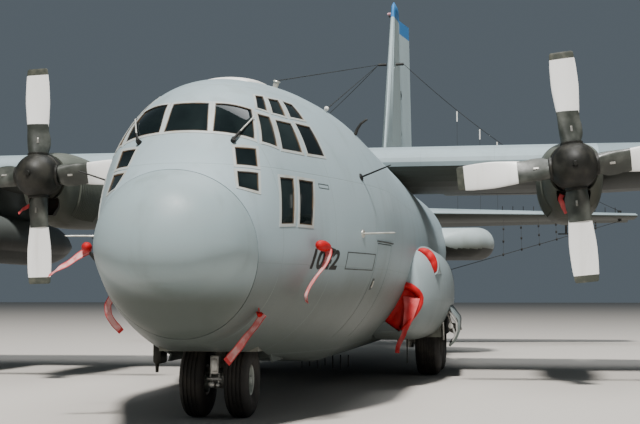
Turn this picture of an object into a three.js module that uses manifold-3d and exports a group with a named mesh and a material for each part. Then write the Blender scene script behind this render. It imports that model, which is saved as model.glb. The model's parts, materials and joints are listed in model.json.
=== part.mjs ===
// A four-engined, high-winged military transport plane, parked on its landing gear.
// It is drawn at full size, in millimetres, and the finished group is scaled to a 1:2 model.
// +Z is up, the nose points along -Y and the plane's own left side (port) is +X.
// A station is the distance aft of the nose tip.
import * as THREE from 'three';
import { mergeVertices } from 'three/addons/utils/BufferGeometryUtils.js';
import Module from 'manifold-3d';

const wasm = await Module();
wasm.setup();

// Driving dimensions, full size
const modelScale = 0.5;
const overallLength = 29790;
const halfSpan = 20205;
const seatGap = 0.8;
const runningGap = 14;
const endGap = 44;
const hingePinRadius = 24;
const sides = [{ name: 'port', sign: 1 }, { name: 'starboard', sign: -1 }];

// Fuselage
const wall = 120;
const hullSides = 32;
const noseEnd = 5140;
const holdEnd = 17640;
const floorTop = 1030;
const floorThickness = 100;
const flightDeckTop = 2150;
const flightDeckThickness = 80;
// Each row: station, flat bottom, round bottom, top, half width, widest height, roundness of the upper half
const noseSections = [
  [0, 2170, 2170, 2230, 30, 2200, 2],
  [60, 1950, 1950, 2500, 330, 2210, 2],
  [200, 1790, 1790, 2760, 610, 2210, 2],
  [450, 1660, 1660, 2980, 840, 2200, 2],
  [750, 1370, 1370, 3130, 960, 2180, 2.05],
  [1000, 1150, 1150, 3310, 1020, 2190, 2.1],
  [1260, 1060, 1050, 3630, 1105, 2220, 2.1],
  [1530, 1010, 980, 4020, 1200, 2250, 2.15],
  [1900, 960, 910, 4240, 1335, 2300, 2.1],
  [2420, 900, 810, 4440, 1525, 2360, 2.05],
  [3050, 830, 690, 4570, 1755, 2420, 2],
  [4200, 710, 500, 4700, 2060, 2510, 2],
  [5140, 640, 410, 4720, 2160, 2560, 2],
];
const holdSections = [
  [5140, 640, 410, 4720, 2160, 2560, 2],
  [17640, 640, 410, 4720, 2160, 2560, 2],
];
const tailSections = [
  [17640, 640, 410, 4720, 2160, 2560, 2],
  [19300, 1050, 850, 4720, 2130, 2780, 2],
  [21000, 1700, 1500, 4720, 2000, 3130, 2],
  [22800, 2500, 2330, 4730, 1720, 3560, 2],
  [24600, 3300, 3150, 4750, 1300, 3960, 2],
  [26400, 3860, 3760, 4750, 760, 4250, 2],
  [28200, 4180, 4140, 4680, 200, 4420, 2],
];
// The radome's joint is a plane that leans forward at the top
const radomeJointStation = 1130;
const radomeJointHeight = 1120;
const radomeJointLean = 14;
// Each flight deck pane: four corners (x, station, z) on the port side, lower edge first
const centrePane = [[280, 1260, 3590], [-280, 1260, 3590], [-230, 1520, 3980], [230, 1520, 3980]];
const portPanes = [
  [[330, 1270, 3590], [810, 1460, 3500], [690, 1810, 3930], [290, 1540, 3980]],
  [[880, 1510, 3480], [1030, 1750, 3440], [880, 2010, 3870], [750, 1820, 3880]],
  [[1080, 1820, 3430], [1260, 2260, 3430], [1080, 2390, 3840], [930, 2070, 3840]],
  [[1300, 2380, 3430], [1450, 2800, 3440], [1240, 2870, 3860], [1110, 2500, 3860]],
  [[730, 1930, 3970], [830, 2070, 3940], [710, 2380, 4190], [630, 2220, 4180]],
  [[880, 2140, 3930], [1010, 2390, 3920], [850, 2680, 4190], [760, 2420, 4180]],
  [[1050, 2500, 3930], [1170, 2860, 3940], [980, 2980, 4180], [880, 2770, 4190]],
  [[670, 1090, 3160], [890, 1300, 3150], [840, 1410, 3390], [610, 1240, 3400]],
  [[750, 870, 2880], [940, 1140, 2840], [900, 1270, 3080], [690, 1040, 3090]],
  [[1150, 1410, 2470], [1250, 1700, 2490], [1220, 1850, 3070], [1100, 1550, 3060]],
  [[1300, 1810, 2490], [1410, 2120, 2490], [1390, 2290, 3070], [1260, 1950, 3070]],
];
const glassThickness = 24;

// Doors and ramp
const crewDoor = { front: 4030, rear: 4800, sill: 1030, head: 2360 };
const jumpDoor = { front: 16240, rear: 17150, sill: 1040, head: 2860 };
const rampHinge = { station: holdEnd + seatGap, z: 800 };
const rampEnd = 20990;
const rampHalfWidth = 1560;
const rampDeckEndZ = 2250;
const rampBevel = 31;
// The ramp and the cargo door meet on a plane that leans forward at the top, so each can leave the other
const rampJoint = { z: 1700, lean: 30 };
const cargoDoorEnd = 24400;
const cargoDoorEndHalfWidth = 900;
const cargoDoorHinge = { station: 24330, z: 3400 };

// Wing: chord line from the leading edge, thickness and camber as shares of the chord
const wingRoot = { x: 0, lead: 11100, chord: 4880, z: 4320, thickness: 0.18, camber: 0.022, incidence: 3.1 };
const wingBreak = { ...wingRoot, x: 5600 };
const wingTip = {
  x: halfSpan - 250, lead: 11750, chord: 2550, z: 4560, thickness: 0.12, camber: 0.02, incidence: 1,
};
// Shares of the chord: where the box ends, where the aileron's hinge is, where a flap begins to thin
const wingBoxShare = 0.7;
const aileronShare = 0.745;
const taperShare = 0.86;
const flapSpans = [
  { name: 'inner', inboard: 2330, outboard: 5560 },
  { name: 'outer', inboard: 5640, outboard: 12500 },
];
const flapPadInsets = [40, 130];
const aileronSpan = { inboard: 12700, outboard: 19500 };
const boxEnd = aileronSpan.inboard - 60;

const degrees = THREE.MathUtils.degToRad;

// Tail
const finBase = { z: 4600, lead: 22600 };
const finTop = { z: 11200, lead: 26480 };
const finCap = { z: 11660, lead: 26750, trail: 28700 };
const rudderHingeStation = 27550;
const rudder = { bottom: 5150, top: 11170, baseChord: 1550, topChord: 1250, restTurn: 16 };
const stabTip = { x: 8020, lead: 27400, chord: 1950, z: 4290, thickness: 0.1, camber: 0, incidence: 0 };
const stabRootChord = 4330;
const stabBoxShare = 0.698;
const elevatorShare = 0.735;
const elevatorSpan = { inboard: 620, outboard: 7850 };
// The elevators hang down when the plane is parked
const elevatorDroop = 12;
// The root's leading edge puts the elevators' inner corners at the plane's full length
const innerShare = elevatorSpan.inboard / stabTip.x;
const innerChord = stabRootChord + (stabTip.chord - stabRootChord) * innerShare;
const droopSetback = innerChord * (1 - elevatorShare) * (1 - Math.cos(degrees(elevatorDroop)));
const innerLead = overallLength - innerChord + droopSetback;
const stabRoot = {
  ...stabTip, x: 0, chord: stabRootChord, z: 4330, thickness: 0.12,
  lead: (innerLead - stabTip.lead * innerShare) / (1 - innerShare),
};

// Engines and propellers
const engineColumns = [{ name: 'inner', x: 4980, z: 3900 }, { name: 'outer', x: 9970, z: 3920 }];
// Each row: station, half width, bottom and top measured from the propeller's axis
const nacelleSections = [
  [8860, 440, -470, 430],
  [9150, 530, -820, 500],
  [9900, 590, -930, 560],
  [11300, 600, -880, 470],
  [12900, 520, -660, 200],
  [14150, 330, -330, 60],
];
const nacelleWall = 40;
const nacelleSides = 16;
// The chin intake's right half from the front: distance from the middle, height from the propeller's axis
const chinIntake = [[300, -400], [270, -580], [160, -740]];
const chinIntakeRear = 9240;
const engineBlock = { front: 9400, rear: 12500, width: 640, bottom: -520, top: 260 };
const propStation = 8620;
const propRadius = 2055;
// The spinner's outline: radius, station
const spinnerProfile = [[0, 8090], [150, 8120], [300, 8260], [390, 8440], [430, 8640]];
const bladeRestTurn = { inner_port: 5.5, inner_starboard: 1.6, outer_port: 22, outer_starboard: 38 };
// Each row: radius, chord, thickness, pitch in degrees
const bladeSections = [
  [300, 340, 255, 16],
  [700, 410, 150, 12],
  [985, 415, 98, 10],
  [1450, 510, 52, 6.5],
  [1950, 462, 31, 4],
  [propRadius, 420, 22, 4],
];

// Landing gear
const mainGear = {
  x: 2170, stations: [12050, 13570], tyreRadius: 710, tyreWidth: 510, rimRadius: 254, strutX: 1770,
};
const noseGear = { x: 300, station: 3060, tyreRadius: 495, tyreWidth: 330, rimRadius: 203 };
const noseWell = { halfWidth: 660, front: 2390, rear: 3730 };
const wheelWell = { front: 11150, rear: 14470, inner: 1560, outer: 2470, top: 2300, sideTop: 1440 };
const wellWall = 60;
// Each row: station, outer x, bottom, top
const sponsonSections = [
  [8240, 1980, 1280, 1920],
  [8320, 2240, 990, 2210],
  [8600, 2380, 920, 2370],
  [9200, 2530, 830, 2500],
  [10200, 2640, 780, 2570],
  [11500, 2680, 770, 2590],
  [14900, 2560, 780, 2580],
  [16200, 2400, 900, 2520],
  [17600, 2220, 1150, 2380],
  [18300, 2080, 1400, 2200],
];
const sponsonSides = 14;
// The cooling air intake in each sponson's front, as (x, z) corners, and how far back it runs
const sponsonIntake = [[2280, 1590], [1850, 1944], [1450, 1318], [1905, 985]];
const sponsonIntakeRear = 8950;
// The open wheel doors' outer face at their front end, as (x, z)
const gearDoorFace = [[2640, 1470], [2745, 1300], [2850, 1120], [2840, 920], [2770, 740], [2650, 610]];
const gearDoorThickness = 45;
const gearDoorTaper = 110;
const wheelFacets = 20;

// Pods
const blister = { front: 19400, rear: 23200, outer: 3400, z: 3090, halfHeight: 450 };
// Each row: share of the length, share of the reach, share of the half height
const blisterShape = [
  [0, 0.05, 0.15], [0.05, 0.45, 0.6], [0.18, 0.82, 0.9], [0.4, 1, 1],
  [0.65, 0.95, 0.95], [0.88, 0.6, 0.6], [1, 0.1, 0.2],
];
const tank = { x: 7350, z: 2870, front: 9100 };
// Each pair: radius, distance behind the front
const tankProfile = [
  [0, 0], [150, 60], [330, 420], [460, 1100], [530, 2200], [530, 4400], [430, 5900], [200, 7000], [0, 7300],
];
const pylon = { front: 11300, rear: 14200, halfWidth: 95 };

const finish = (color, roughness, metalness = 0) => (
  new THREE.MeshStandardMaterial({ color, roughness, metalness }));
const looks = {
  paint: finish(0x9aa5a6, 0.5),
  radome: finish(0x8f9b9d, 0.6),
  glass: finish(0x20282c, 0.1),
  cabin: finish(0x55595a, 0.7),
  deck: finish(0x6f7474, 0.6, 0.4),
  propeller: finish(0xd4d6d4, 0.4, 0.5),
  tyre: finish(0x1a1a1b, 0.9),
  rim: finish(0xb9bdbb, 0.5, 0.2),
  strut: finish(0xc3c6c4, 0.35, 0.6),
  engine: finish(0x6b6d6e, 0.5, 0.7),
};
looks.glass.transparent = true;
looks.glass.opacity = 0.4;

const yOf = (station) => station - overallLength / 2;
const ordered = (a, b) => [Math.min(a, b), Math.max(a, b)];

// Solid helpers: every shape is a closed manifold solid until it becomes a mesh
function solidOf(geometry) {
  const bare = geometry.index ? geometry.clone() : geometry;
  bare.deleteAttribute('normal');
  bare.deleteAttribute('uv');
  const merged = mergeVertices(bare, 0.01);
  const positions = merged.attributes.position.array;
  const triangles = dropSlivers(merged.index.array);
  if (signedVolume(positions, triangles) < 0) {
    for (let i = 0; i < triangles.length; i += 3) {
      [triangles[i + 1], triangles[i + 2]] = [triangles[i + 2], triangles[i + 1]];
    }
  }
  return new wasm.Manifold(new wasm.Mesh({
    numProp: 3,
    vertProperties: new Float32Array(positions),
    triVerts: new Uint32Array(triangles),
  }));
}

function dropSlivers(index) {
  const kept = [];
  for (let i = 0; i < index.length; i += 3) {
    const [a, b, c] = [index[i], index[i + 1], index[i + 2]];
    if (a !== b && b !== c && c !== a) kept.push(a, b, c);
  }
  return kept;
}

function signedVolume(positions, triangles) {
  const [a, b, c] = [new THREE.Vector3(), new THREE.Vector3(), new THREE.Vector3()];
  let volume = 0;
  for (let i = 0; i < triangles.length; i += 3) {
    a.fromArray(positions, triangles[i] * 3);
    b.fromArray(positions, triangles[i + 1] * 3);
    c.fromArray(positions, triangles[i + 2] * 3);
    volume += a.dot(b.cross(c)) / 6;
  }
  return volume;
}

function geometryOf(solid) {
  const mesh = solid.getMesh();
  const geometry = new THREE.BufferGeometry();
  const points = new Float32Array(mesh.numVert * 3);
  for (let i = 0; i < mesh.numVert; i += 1) {
    for (let k = 0; k < 3; k += 1) points[i * 3 + k] = mesh.vertProperties[i * mesh.numProp + k];
  }
  geometry.setAttribute('position', new THREE.BufferAttribute(points, 3));
  geometry.setIndex(new THREE.BufferAttribute(new Uint32Array(mesh.triVerts), 1));
  return geometry;
}

// A solid through rings of equal count, each a closed loop of points, with flat or fanned ends
function loft(rings) {
  const count = rings[0].length;
  const positions = rings.flatMap((ring) => ring.flatMap((p) => [p.x, p.y, p.z]));
  const index = [];
  for (let r = 0; r < rings.length - 1; r += 1) {
    for (let i = 0; i < count; i += 1) {
      const a = r * count + i;
      const b = r * count + (i + 1) % count;
      index.push(a, b, b + count, a, b + count, a + count);
    }
  }
  for (const r of [0, rings.length - 1]) {
    const centre = rings[r].reduce((sum, p) => sum.add(p), new THREE.Vector3()).divideScalar(count);
    const hub = positions.length / 3;
    positions.push(centre.x, centre.y, centre.z);
    for (let i = 0; i < count; i += 1) {
      const a = r * count + i;
      const b = r * count + (i + 1) % count;
      index.push(...(r === 0 ? [hub, b, a] : [hub, a, b]));
    }
  }
  const geometry = new THREE.BufferGeometry();
  geometry.setAttribute('position', new THREE.BufferAttribute(new Float32Array(positions), 3));
  geometry.setIndex(index);
  return solidOf(geometry);
}

// An axis-aligned block between two corners, each given as x, station, z
function block(low, high) {
  const geometry = new THREE.BoxGeometry(high[0] - low[0], high[1] - low[1], high[2] - low[2]);
  geometry.translate((low[0] + high[0]) / 2, yOf((low[1] + high[1]) / 2), (low[2] + high[2]) / 2);
  return solidOf(geometry);
}

// A side outline of (station, z) points, drawn across the plane between two x values
function slab(outline, xLow, xHigh) {
  return loft([xLow, xHigh].map((x) => outline.map(([station, z]) => new THREE.Vector3(x, yOf(station), z))));
}

// A plan outline of (x, station) points, drawn between two heights
function planSlab(outline, zLow, zHigh) {
  return loft([zLow, zHigh].map((z) => outline.map(([x, station]) => new THREE.Vector3(x, yOf(station), z))));
}

// A round bar between two points given as x, station, z
function bar(from, to, radius, facets = 12) {
  const a = new THREE.Vector3(from[0], yOf(from[1]), from[2]);
  const b = new THREE.Vector3(to[0], yOf(to[1]), to[2]);
  const geometry = new THREE.CylinderGeometry(radius, radius, a.distanceTo(b), facets);
  const along = b.clone().sub(a).normalize();
  geometry.applyQuaternion(new THREE.Quaternion().setFromUnitVectors(new THREE.Vector3(0, 1, 0), along));
  geometry.translate((a.x + b.x) / 2, (a.y + b.y) / 2, (a.z + b.z) / 2);
  return solidOf(geometry);
}

// A turned solid: (radius, distance) pairs that close on the axis or on themselves, along X or -Y
function turned(profile, facets, axis) {
  const geometry = new THREE.LatheGeometry(profile.map(([r, d]) => new THREE.Vector2(r, d)), facets);
  if (axis === 'x') geometry.rotateZ(-Math.PI / 2);
  return solidOf(geometry);
}

// The plane's skin at one section, drawn in by inset; powers above 2 make it squarer
function hullRing([station, flat, round, top, halfWidth, mid, power], inset) {
  const ring = [];
  for (let i = 0; i < hullSides; i += 1) {
    const angle = (i / hullSides) * Math.PI * 2;
    const c = Math.cos(angle);
    const s = Math.sin(angle);
    const upper = s >= 0;
    const share = upper ? 2 / power : 1;
    const x = (halfWidth - inset) * Math.sign(c) * Math.abs(c) ** share;
    const rise = upper ? (top - inset - mid) * s ** share : (mid - round - inset) * s;
    ring.push(new THREE.Vector3(x, yOf(station), Math.max(mid + rise, flat + inset)));
  }
  return ring;
}

const hull = (sections, inset = 0) => loft(sections.map((row) => hullRing(row, inset)));

// Aerofoils. Half thickness and camber at a share of the chord, as shares of the chord
function foilPoint(foil, share, side, offset = 0) {
  const root = Math.sqrt(share);
  const shape = 1.4845 * root - 0.63 * share - 1.758 * share ** 2 + 1.4215 * share ** 3 - 0.5 * share ** 4;
  const half = Math.max(foil.thickness * shape, 0.0022);
  const rise = foil.camber * 4 * share * (1 - share) + side * half;
  const local = new THREE.Vector2(share * foil.chord, rise * foil.chord + side * offset);
  local.rotateAround(new THREE.Vector2(0, 0), -degrees(foil.incidence));
  return local;
}

const boxShares = [0.52, 0.36, 0.22, 0.12, 0.055, 0.02, 0.005];

// The fixed part of a wing section, from the rear face round the leading edge; grow thickens it all round
function boxOutline(foil, rearShare, grow = 0) {
  const shares = [rearShare, ...boxShares];
  const upper = shares.map((share) => foilPoint(foil, share, 1, grow));
  const lower = shares.map((share) => foilPoint(foil, share, -1, grow)).reverse();
  const nose = foilPoint(foil, 0, 1).add(new THREE.Vector2(-grow * 1.5, -foil.chord * 0.0022));
  if (grow > 0) {
    upper[0].x += grow;
    lower[lower.length - 1].x += grow;
  }
  return [...upper, nose, ...lower];
}

// A whole wing section, closed at a thin trailing edge
function wholeOutline(foil) {
  const upper = [1, 0.7, ...boxShares].map((share) => foilPoint(foil, share, 1));
  const lower = [1, 0.7, ...boxShares].map((share) => foilPoint(foil, share, -1)).reverse();
  const nose = foilPoint(foil, 0, 1).add(new THREE.Vector2(0, -foil.chord * 0.0022));
  return [...upper, nose, ...lower];
}

// The hinged rear part: a round nose about its hinge, then the two skins to the trailing edge
function flapOutline(foil, hingeShare, noseSteps = 5) {
  const upper = foilPoint(foil, hingeShare, 1);
  const lower = foilPoint(foil, hingeShare, -1);
  const centre = upper.clone().add(lower).multiplyScalar(0.5);
  const radius = upper.distanceTo(lower) / 2;
  const points = [];
  const start = Math.atan2(upper.y - centre.y, upper.x - centre.x);
  for (let i = 0; i <= noseSteps; i += 1) {
    const angle = start + (Math.PI * i) / noseSteps;
    points.push(new THREE.Vector2(centre.x + radius * Math.cos(angle), centre.y + radius * Math.sin(angle)));
  }
  const rear = [[taperShare, -1], [1, -1], [1, 1], [taperShare, 1]];
  return {
    points: [...points, ...rear.map(([share, side]) => foilPoint(foil, share, side))],
    centre,
    radius,
  };
}

function foilAt(root, tip, x) {
  const share = (Math.abs(x) - root.x) / (tip.x - root.x);
  const mix = (key) => root[key] + (tip[key] - root[key]) * share;
  return {
    x, lead: mix('lead'), chord: mix('chord'), z: mix('z'),
    thickness: mix('thickness'), camber: mix('camber'), incidence: mix('incidence'),
  };
}

// A level section's outline, placed at its own x
const wingRing = (foil, outline) => outline.map((p) => (
  new THREE.Vector3(foil.x, yOf(foil.lead) + p.x, foil.z + p.y)));

const wingFoilAt = (x) => (Math.abs(x) <= wingBreak.x
  ? foilAt({ ...wingRoot, x: 0 }, wingBreak, x)
  : foilAt(wingBreak, wingTip, x));

function wingPanel(xs, outlineOf, foilOf = wingFoilAt) {
  return loft(xs.map((x) => {
    const foil = foilOf(x);
    return wingRing(foil, outlineOf(foil));
  }));
}

// Everything behind the box's rear face, well above and below the section: what the hinged parts take up
function rearOutline(foil, share) {
  const upper = foilPoint(foil, share, 1);
  const lower = foilPoint(foil, share, -1);
  const slope = upper.clone().sub(lower).normalize().multiplyScalar(400);
  const rear = foilPoint(foil, 1, 1).add(new THREE.Vector2(foil.chord * 0.1, 0));
  return [
    upper.add(slope), lower.sub(slope),
    new THREE.Vector2(rear.x, rear.y - 900), new THREE.Vector2(rear.x, rear.y + 900),
  ];
}

const boxOf = (share, grow = 0) => (foil) => boxOutline(foil, share, grow);
const part = {};
const add = (name, look, solid) => {
  const mesh = new THREE.Mesh(geometryOf(solid), looks[look]);
  mesh.name = name;
  part[name] = mesh;
};

// Radome and forward fuselage: one nose shape, divided by the leaning joint
function noseCutter(offset) {
  const cutter = new THREE.BoxGeometry(6000, 4000, 8000);
  cutter.translate(0, -2000 + offset, 0);
  cutter.rotateX(degrees(radomeJointLean));
  cutter.translate(0, yOf(radomeJointStation), radomeJointHeight);
  return solidOf(cutter);
}

// A prism through the skin under four corners, a little proud of it outside and well through inside
function panePrism(corners, mirror, outside = 150, inside = 480) {
  const points = corners.map(([x, station, z]) => new THREE.Vector3(x * mirror, yOf(station), z));
  const across = points[1].clone().sub(points[0]);
  const up = points[3].clone().sub(points[0]);
  const normal = new THREE.Vector3().crossVectors(across, up).normalize();
  const centre = points.reduce((sum, p) => sum.add(p), new THREE.Vector3()).divideScalar(4);
  const axisPoint = new THREE.Vector3(0, yOf(2400), 2600);
  if (normal.dot(centre.sub(axisPoint)) < 0) normal.negate();
  return loft([outside, -inside].map((depth) => points.map((p) => p.clone().addScaledVector(normal, depth))));
}

const noseOuter = hull(noseSections);
const noseInner = hull(noseSections.slice(3).map((row, k, rows) => (
  k === rows.length - 1 ? [row[0] + 5, ...row.slice(1)] : row)), wall);
const cabinSpace = noseInner.subtract(noseCutter(wall));
const crewDoorway = block([900, crewDoor.front, crewDoor.sill], [2600, crewDoor.rear, crewDoor.head]);
const noseWellCut = block(
  [-noseWell.halfWidth, noseWell.front, 300],
  [noseWell.halfWidth, noseWell.rear, 1250],
);

add('radome', 'radome', noseOuter.intersect(noseCutter(-seatGap)));

let forward = noseOuter.subtract(noseCutter(0)).subtract(cabinSpace);
const forwardWhole = forward;
forward = forward.subtract(crewDoorway).subtract(noseWellCut).subtract(panePrism(centrePane, 1));
for (const corners of portPanes) {
  for (const { sign } of sides) forward = forward.subtract(panePrism(corners, sign));
}
add('forward_fuselage', 'paint', forward);

const crewDoorPanel = block(
  [900, crewDoor.front + runningGap, crewDoor.sill + seatGap],
  [2600, crewDoor.rear - runningGap, crewDoor.head - runningGap],
);
add('crew_door', 'paint', forwardWhole.intersect(crewDoorPanel));

// Glazing: one thin liner close behind the cut windows
const linerOuter = hull(noseSections.slice(3), wall + seatGap).subtract(noseCutter(wall + seatGap));
const linerInner = hull(noseSections.slice(3), wall + glassThickness);
const linerZone = block([-3000, 700, 2400], [3000, 3080, 4290]);
add('flight_deck_glass', 'glass', linerOuter.subtract(linerInner).intersect(linerZone));

// Flight deck: floor, instrument panel and two seats in one piece
const deckRoom = hull(noseSections.slice(3), wall + glassThickness + 6).subtract(noseCutter(wall + 30));
let flightDeck = block(
  [-3000, 1450, flightDeckTop - flightDeckThickness],
  [3000, 4950, flightDeckTop],
).intersect(hull(noseSections.slice(3), wall + seatGap));
flightDeck = flightDeck.subtract(block([150, 3880, 1900], [3000, 5200, 2300]));
const panelSide = [
  [1700, flightDeckTop - 20], [1950, flightDeckTop - 20], [2010, 3060], [1800, 3330], [1650, 3330],
];
const panel = slab(panelSide, -980, 980);
flightDeck = flightDeck.add(panel.intersect(deckRoom));
for (const { sign } of sides) {
  const x = 560 * sign;
  const post = block([x - 160, 2720, flightDeckTop - 20], [x + 160, 3000, 2560]);
  const cushion = block([x - 250, 2560, 2540], [x + 250, 3080, 2680]);
  const back = slab([[3000, 2600], [3110, 2600], [3230, 3330], [3130, 3330]], x - 240, x + 240);
  const headrest = block([x - 120, 3140, 3300], [x + 120, 3240, 3520]);
  flightDeck = flightDeck.add(post).add(cushion).add(back).add(headrest);
}
add('flight_deck', 'cabin', flightDeck);

// Centre fuselage, cut for the wing, the wheel wells and the two jump doors
const holdOuter = hull(holdSections);
const holdInner = hull(holdSections.map((row, k) => [row[0] + (k ? 5 : -5), ...row.slice(1)]), wall);
const holdShell = holdOuter.subtract(holdInner);
const centreWingSeat = wingPanel([-wingBreak.x, wingBreak.x], boxOf(wingBoxShare, seatGap));
const outerWingSeat = (sign) => (
  wingPanel([wingBreak.x * sign, boxEnd * sign], boxOf(wingBoxShare, seatGap)));
const wellBlock = (sign, grow) => {
  const xs = ordered((wheelWell.inner - wellWall - grow) * sign, (wheelWell.outer + wellWall) * sign);
  return block(
    [xs[0], wheelWell.front - wellWall - grow, 760 - grow],
    [xs[1], wheelWell.rear + wellWall + grow, wheelWell.top + wellWall + grow],
  );
};
let centre = holdShell.subtract(centreWingSeat);
for (const { name, sign } of sides) {
  const xs = ordered(900 * sign, 2600 * sign);
  const doorway = block([xs[0], jumpDoor.front, jumpDoor.sill], [xs[1], jumpDoor.rear, jumpDoor.head]);
  const door = block(
    [xs[0], jumpDoor.front + seatGap, jumpDoor.sill + seatGap],
    [xs[1], jumpDoor.rear - seatGap, jumpDoor.head - seatGap],
  );
  centre = centre.subtract(doorway).subtract(wellBlock(sign, seatGap));
  add(`jump_door_${name}`, 'paint', holdShell.intersect(door));
}
centre = centre.intersect(block([-3000, noseEnd + seatGap, -100], [3000, holdEnd, 6000]));
add('centre_fuselage', 'paint', centre);

// Cargo floor, from the crew entrance to the ramp
const floorZone = block([-3000, 3900, floorTop - floorThickness], [3000, holdEnd, floorTop]);
const floorRoom = hull([...noseSections.slice(9, 12), ...holdSections.map((row, k) => (
  k ? [row[0] + 5, ...row.slice(1)] : row))], wall + seatGap);
let cargoFloor = floorZone.intersect(floorRoom);
cargoFloor = cargoFloor.subtract(block([-noseWell.halfWidth, 3000, 0], [noseWell.halfWidth, 3950, 1500]));
for (const { sign } of sides) cargoFloor = cargoFloor.subtract(wellBlock(sign, seatGap * 2));
add('cargo_floor', 'deck', cargoFloor);

// Aft fuselage with the rear opening, and the ramp and cargo door that close it
const tailOuter = hull(tailSections);
const tailInner = hull([
  [tailSections[0][0] - 5, ...tailSections[0].slice(1)],
  ...tailSections.slice(1, 6),
], wall);
const bevelReach = (z) => (rampHinge.z - z) * Math.tan(degrees(rampBevel));
const openingPlan = [
  [rampHalfWidth, holdEnd - 10], [rampHalfWidth, rampEnd], [cargoDoorEndHalfWidth, cargoDoorEnd],
  [-cargoDoorEndHalfWidth, cargoDoorEnd], [-rampHalfWidth, rampEnd], [-rampHalfWidth, holdEnd - 10],
];
const openingSide = [
  [holdEnd - 10, 300], [cargoDoorEnd + 10, 300], [cargoDoorEnd + 10, 3900],
  [rampEnd, 2750], [holdEnd - 10, 2100],
];
const opening = planSlab(openingPlan, 200, 4200).intersect(slab(openingSide, -2000, 2000));
const stabFoilAt = (x) => foilAt(stabRoot, stabTip, x);
const stabBoxEnd = elevatorSpan.outboard + 50;
const stabSeat = wingPanel([-stabBoxEnd, 0, stabBoxEnd], boxOf(stabBoxShare, seatGap), stabFoilAt);
let aft = tailOuter.subtract(tailInner).subtract(opening).subtract(stabSeat);
aft = aft.intersect(block([-3000, holdEnd + seatGap, -100], [3000, overallLength, 6000]));
add('aft_fuselage', 'paint', aft);

const doorPlan = [
  [rampHalfWidth - runningGap, holdEnd - 10], [rampHalfWidth - runningGap, rampEnd],
  [cargoDoorEndHalfWidth - runningGap, cargoDoorEnd], [-cargoDoorEndHalfWidth + runningGap, cargoDoorEnd],
  [-rampHalfWidth + runningGap, rampEnd], [-rampHalfWidth + runningGap, holdEnd - 10],
];
const doorColumn = planSlab(doorPlan, 200, 4200);
const jointAt = (z) => rampEnd - (z - rampJoint.z) * Math.tan(degrees(rampJoint.lean));
const jointGap = runningGap / Math.cos(degrees(rampJoint.lean));
const rampSide = [
  [rampHinge.station, rampHinge.z], [rampHinge.station + bevelReach(300), 300],
  [jointAt(300), 300], [jointAt(rampDeckEndZ), rampDeckEndZ], [rampHinge.station, floorTop],
];
add('cargo_ramp', 'paint', tailOuter.intersect(doorColumn).intersect(slab(rampSide, -2000, 2000)));

const cargoDoorSide = [
  [jointAt(900) + jointGap, 900], [cargoDoorEnd - runningGap, 900], [cargoDoorEnd - runningGap, 3900],
  [jointAt(2700) + jointGap, 2700],
];
const tailShell = tailOuter.subtract(hull(tailSections.slice(0, 6), wall));
let cargoDoor = tailShell.intersect(doorColumn).intersect(slab(cargoDoorSide, -2000, 2000));
// At the hinge the door is a little narrower than the opening's taper, so that its pins run straight out
const hingeShare = (cargoDoorEnd - cargoDoorHinge.station) / (cargoDoorEnd - rampEnd);
const hingeHalfWidth = cargoDoorEndHalfWidth + (rampHalfWidth - cargoDoorEndHalfWidth) * hingeShare;
for (const { sign } of sides) {
  const lugXs = ordered((hingeHalfWidth - 70) * sign, (hingeHalfWidth - runningGap - 8) * sign);
  const { station, z } = cargoDoorHinge;
  const lug = block([lugXs[0], station - 40, z - 110], [lugXs[1], station + 35, z + 25]);
  const pinXs = [(hingeHalfWidth - 40) * sign, (hingeHalfWidth - 4.6) * sign];
  const pin = bar([pinXs[0], station, z], [pinXs[1], station, z], 18);
  cargoDoor = cargoDoor.add(lug).add(pin);
}
add('aft_cargo_door', 'paint', cargoDoor);

// Wing: centre section across the fuselage, outer wings, then flaps and ailerons behind the box
const wingX = (list, sign) => list.map((x) => x * sign);
add('centre_wing', 'paint', wingPanel([-wingBreak.x, wingBreak.x], boxOf(wingBoxShare)));

// A pin along a surface's hinge line that reaches from its end face almost to the rib beyond
function hingePoint(foilOf, share, x) {
  const foil = foilOf(x);
  const { centre } = flapOutline(foil, share);
  return [foil.x, foil.lead + centre.x, foil.z + centre.y];
}

function hingePin(foilOf, share, x, outward) {
  const hingeAt = (reach) => hingePoint(foilOf, share, x + outward * reach);
  const root = hingeAt(-30);
  const rib = hingeAt(endGap);
  const slant = Math.hypot(rib[1] - root[1], rib[2] - root[2]) / Math.abs(rib[0] - root[0]);
  return bar(root, hingeAt(endGap - seatGap - hingePinRadius * slant), hingePinRadius, 12);
}

// A pad on a flap's front face that rides against the wing's rear face
function flapPad(x, sign) {
  return loft([x, x + 90].map((value) => {
    const foil = wingFoilAt(value * sign);
    const corners = [[seatGap, 0.15], [seatGap, 0.85], [runningGap + 40, 0.85], [runningGap + 40, 0.15]];
    return wingRing(foil, corners.map(([gap, drop]) => {
      const share = wingBoxShare + gap / foil.chord;
      return foilPoint(foil, share, 1).lerp(foilPoint(foil, share, -1), drop);
    }));
  }));
}

// What the wing leaves free round an aileron: a cove about its round nose, open behind
function coveRing(x) {
  const foil = wingFoilAt(x);
  const { points, centre, radius } = flapOutline(foil, aileronShare);
  const reach = (radius + runningGap + 6) / radius;
  const cove = points.slice(0, 6).map((p) => p.clone().sub(centre).multiplyScalar(reach).add(centre));
  const behind = [-400, 400].map((rise) => (
    foilPoint(foil, 1, Math.sign(rise)).add(new THREE.Vector2(foil.chord * 0.1, rise))));
  return wingRing(foil, [
    new THREE.Vector2(cove[0].x, cove[0].y + 400), ...cove,
    new THREE.Vector2(cove[5].x, cove[5].y - 400), ...behind,
  ]);
}

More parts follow.
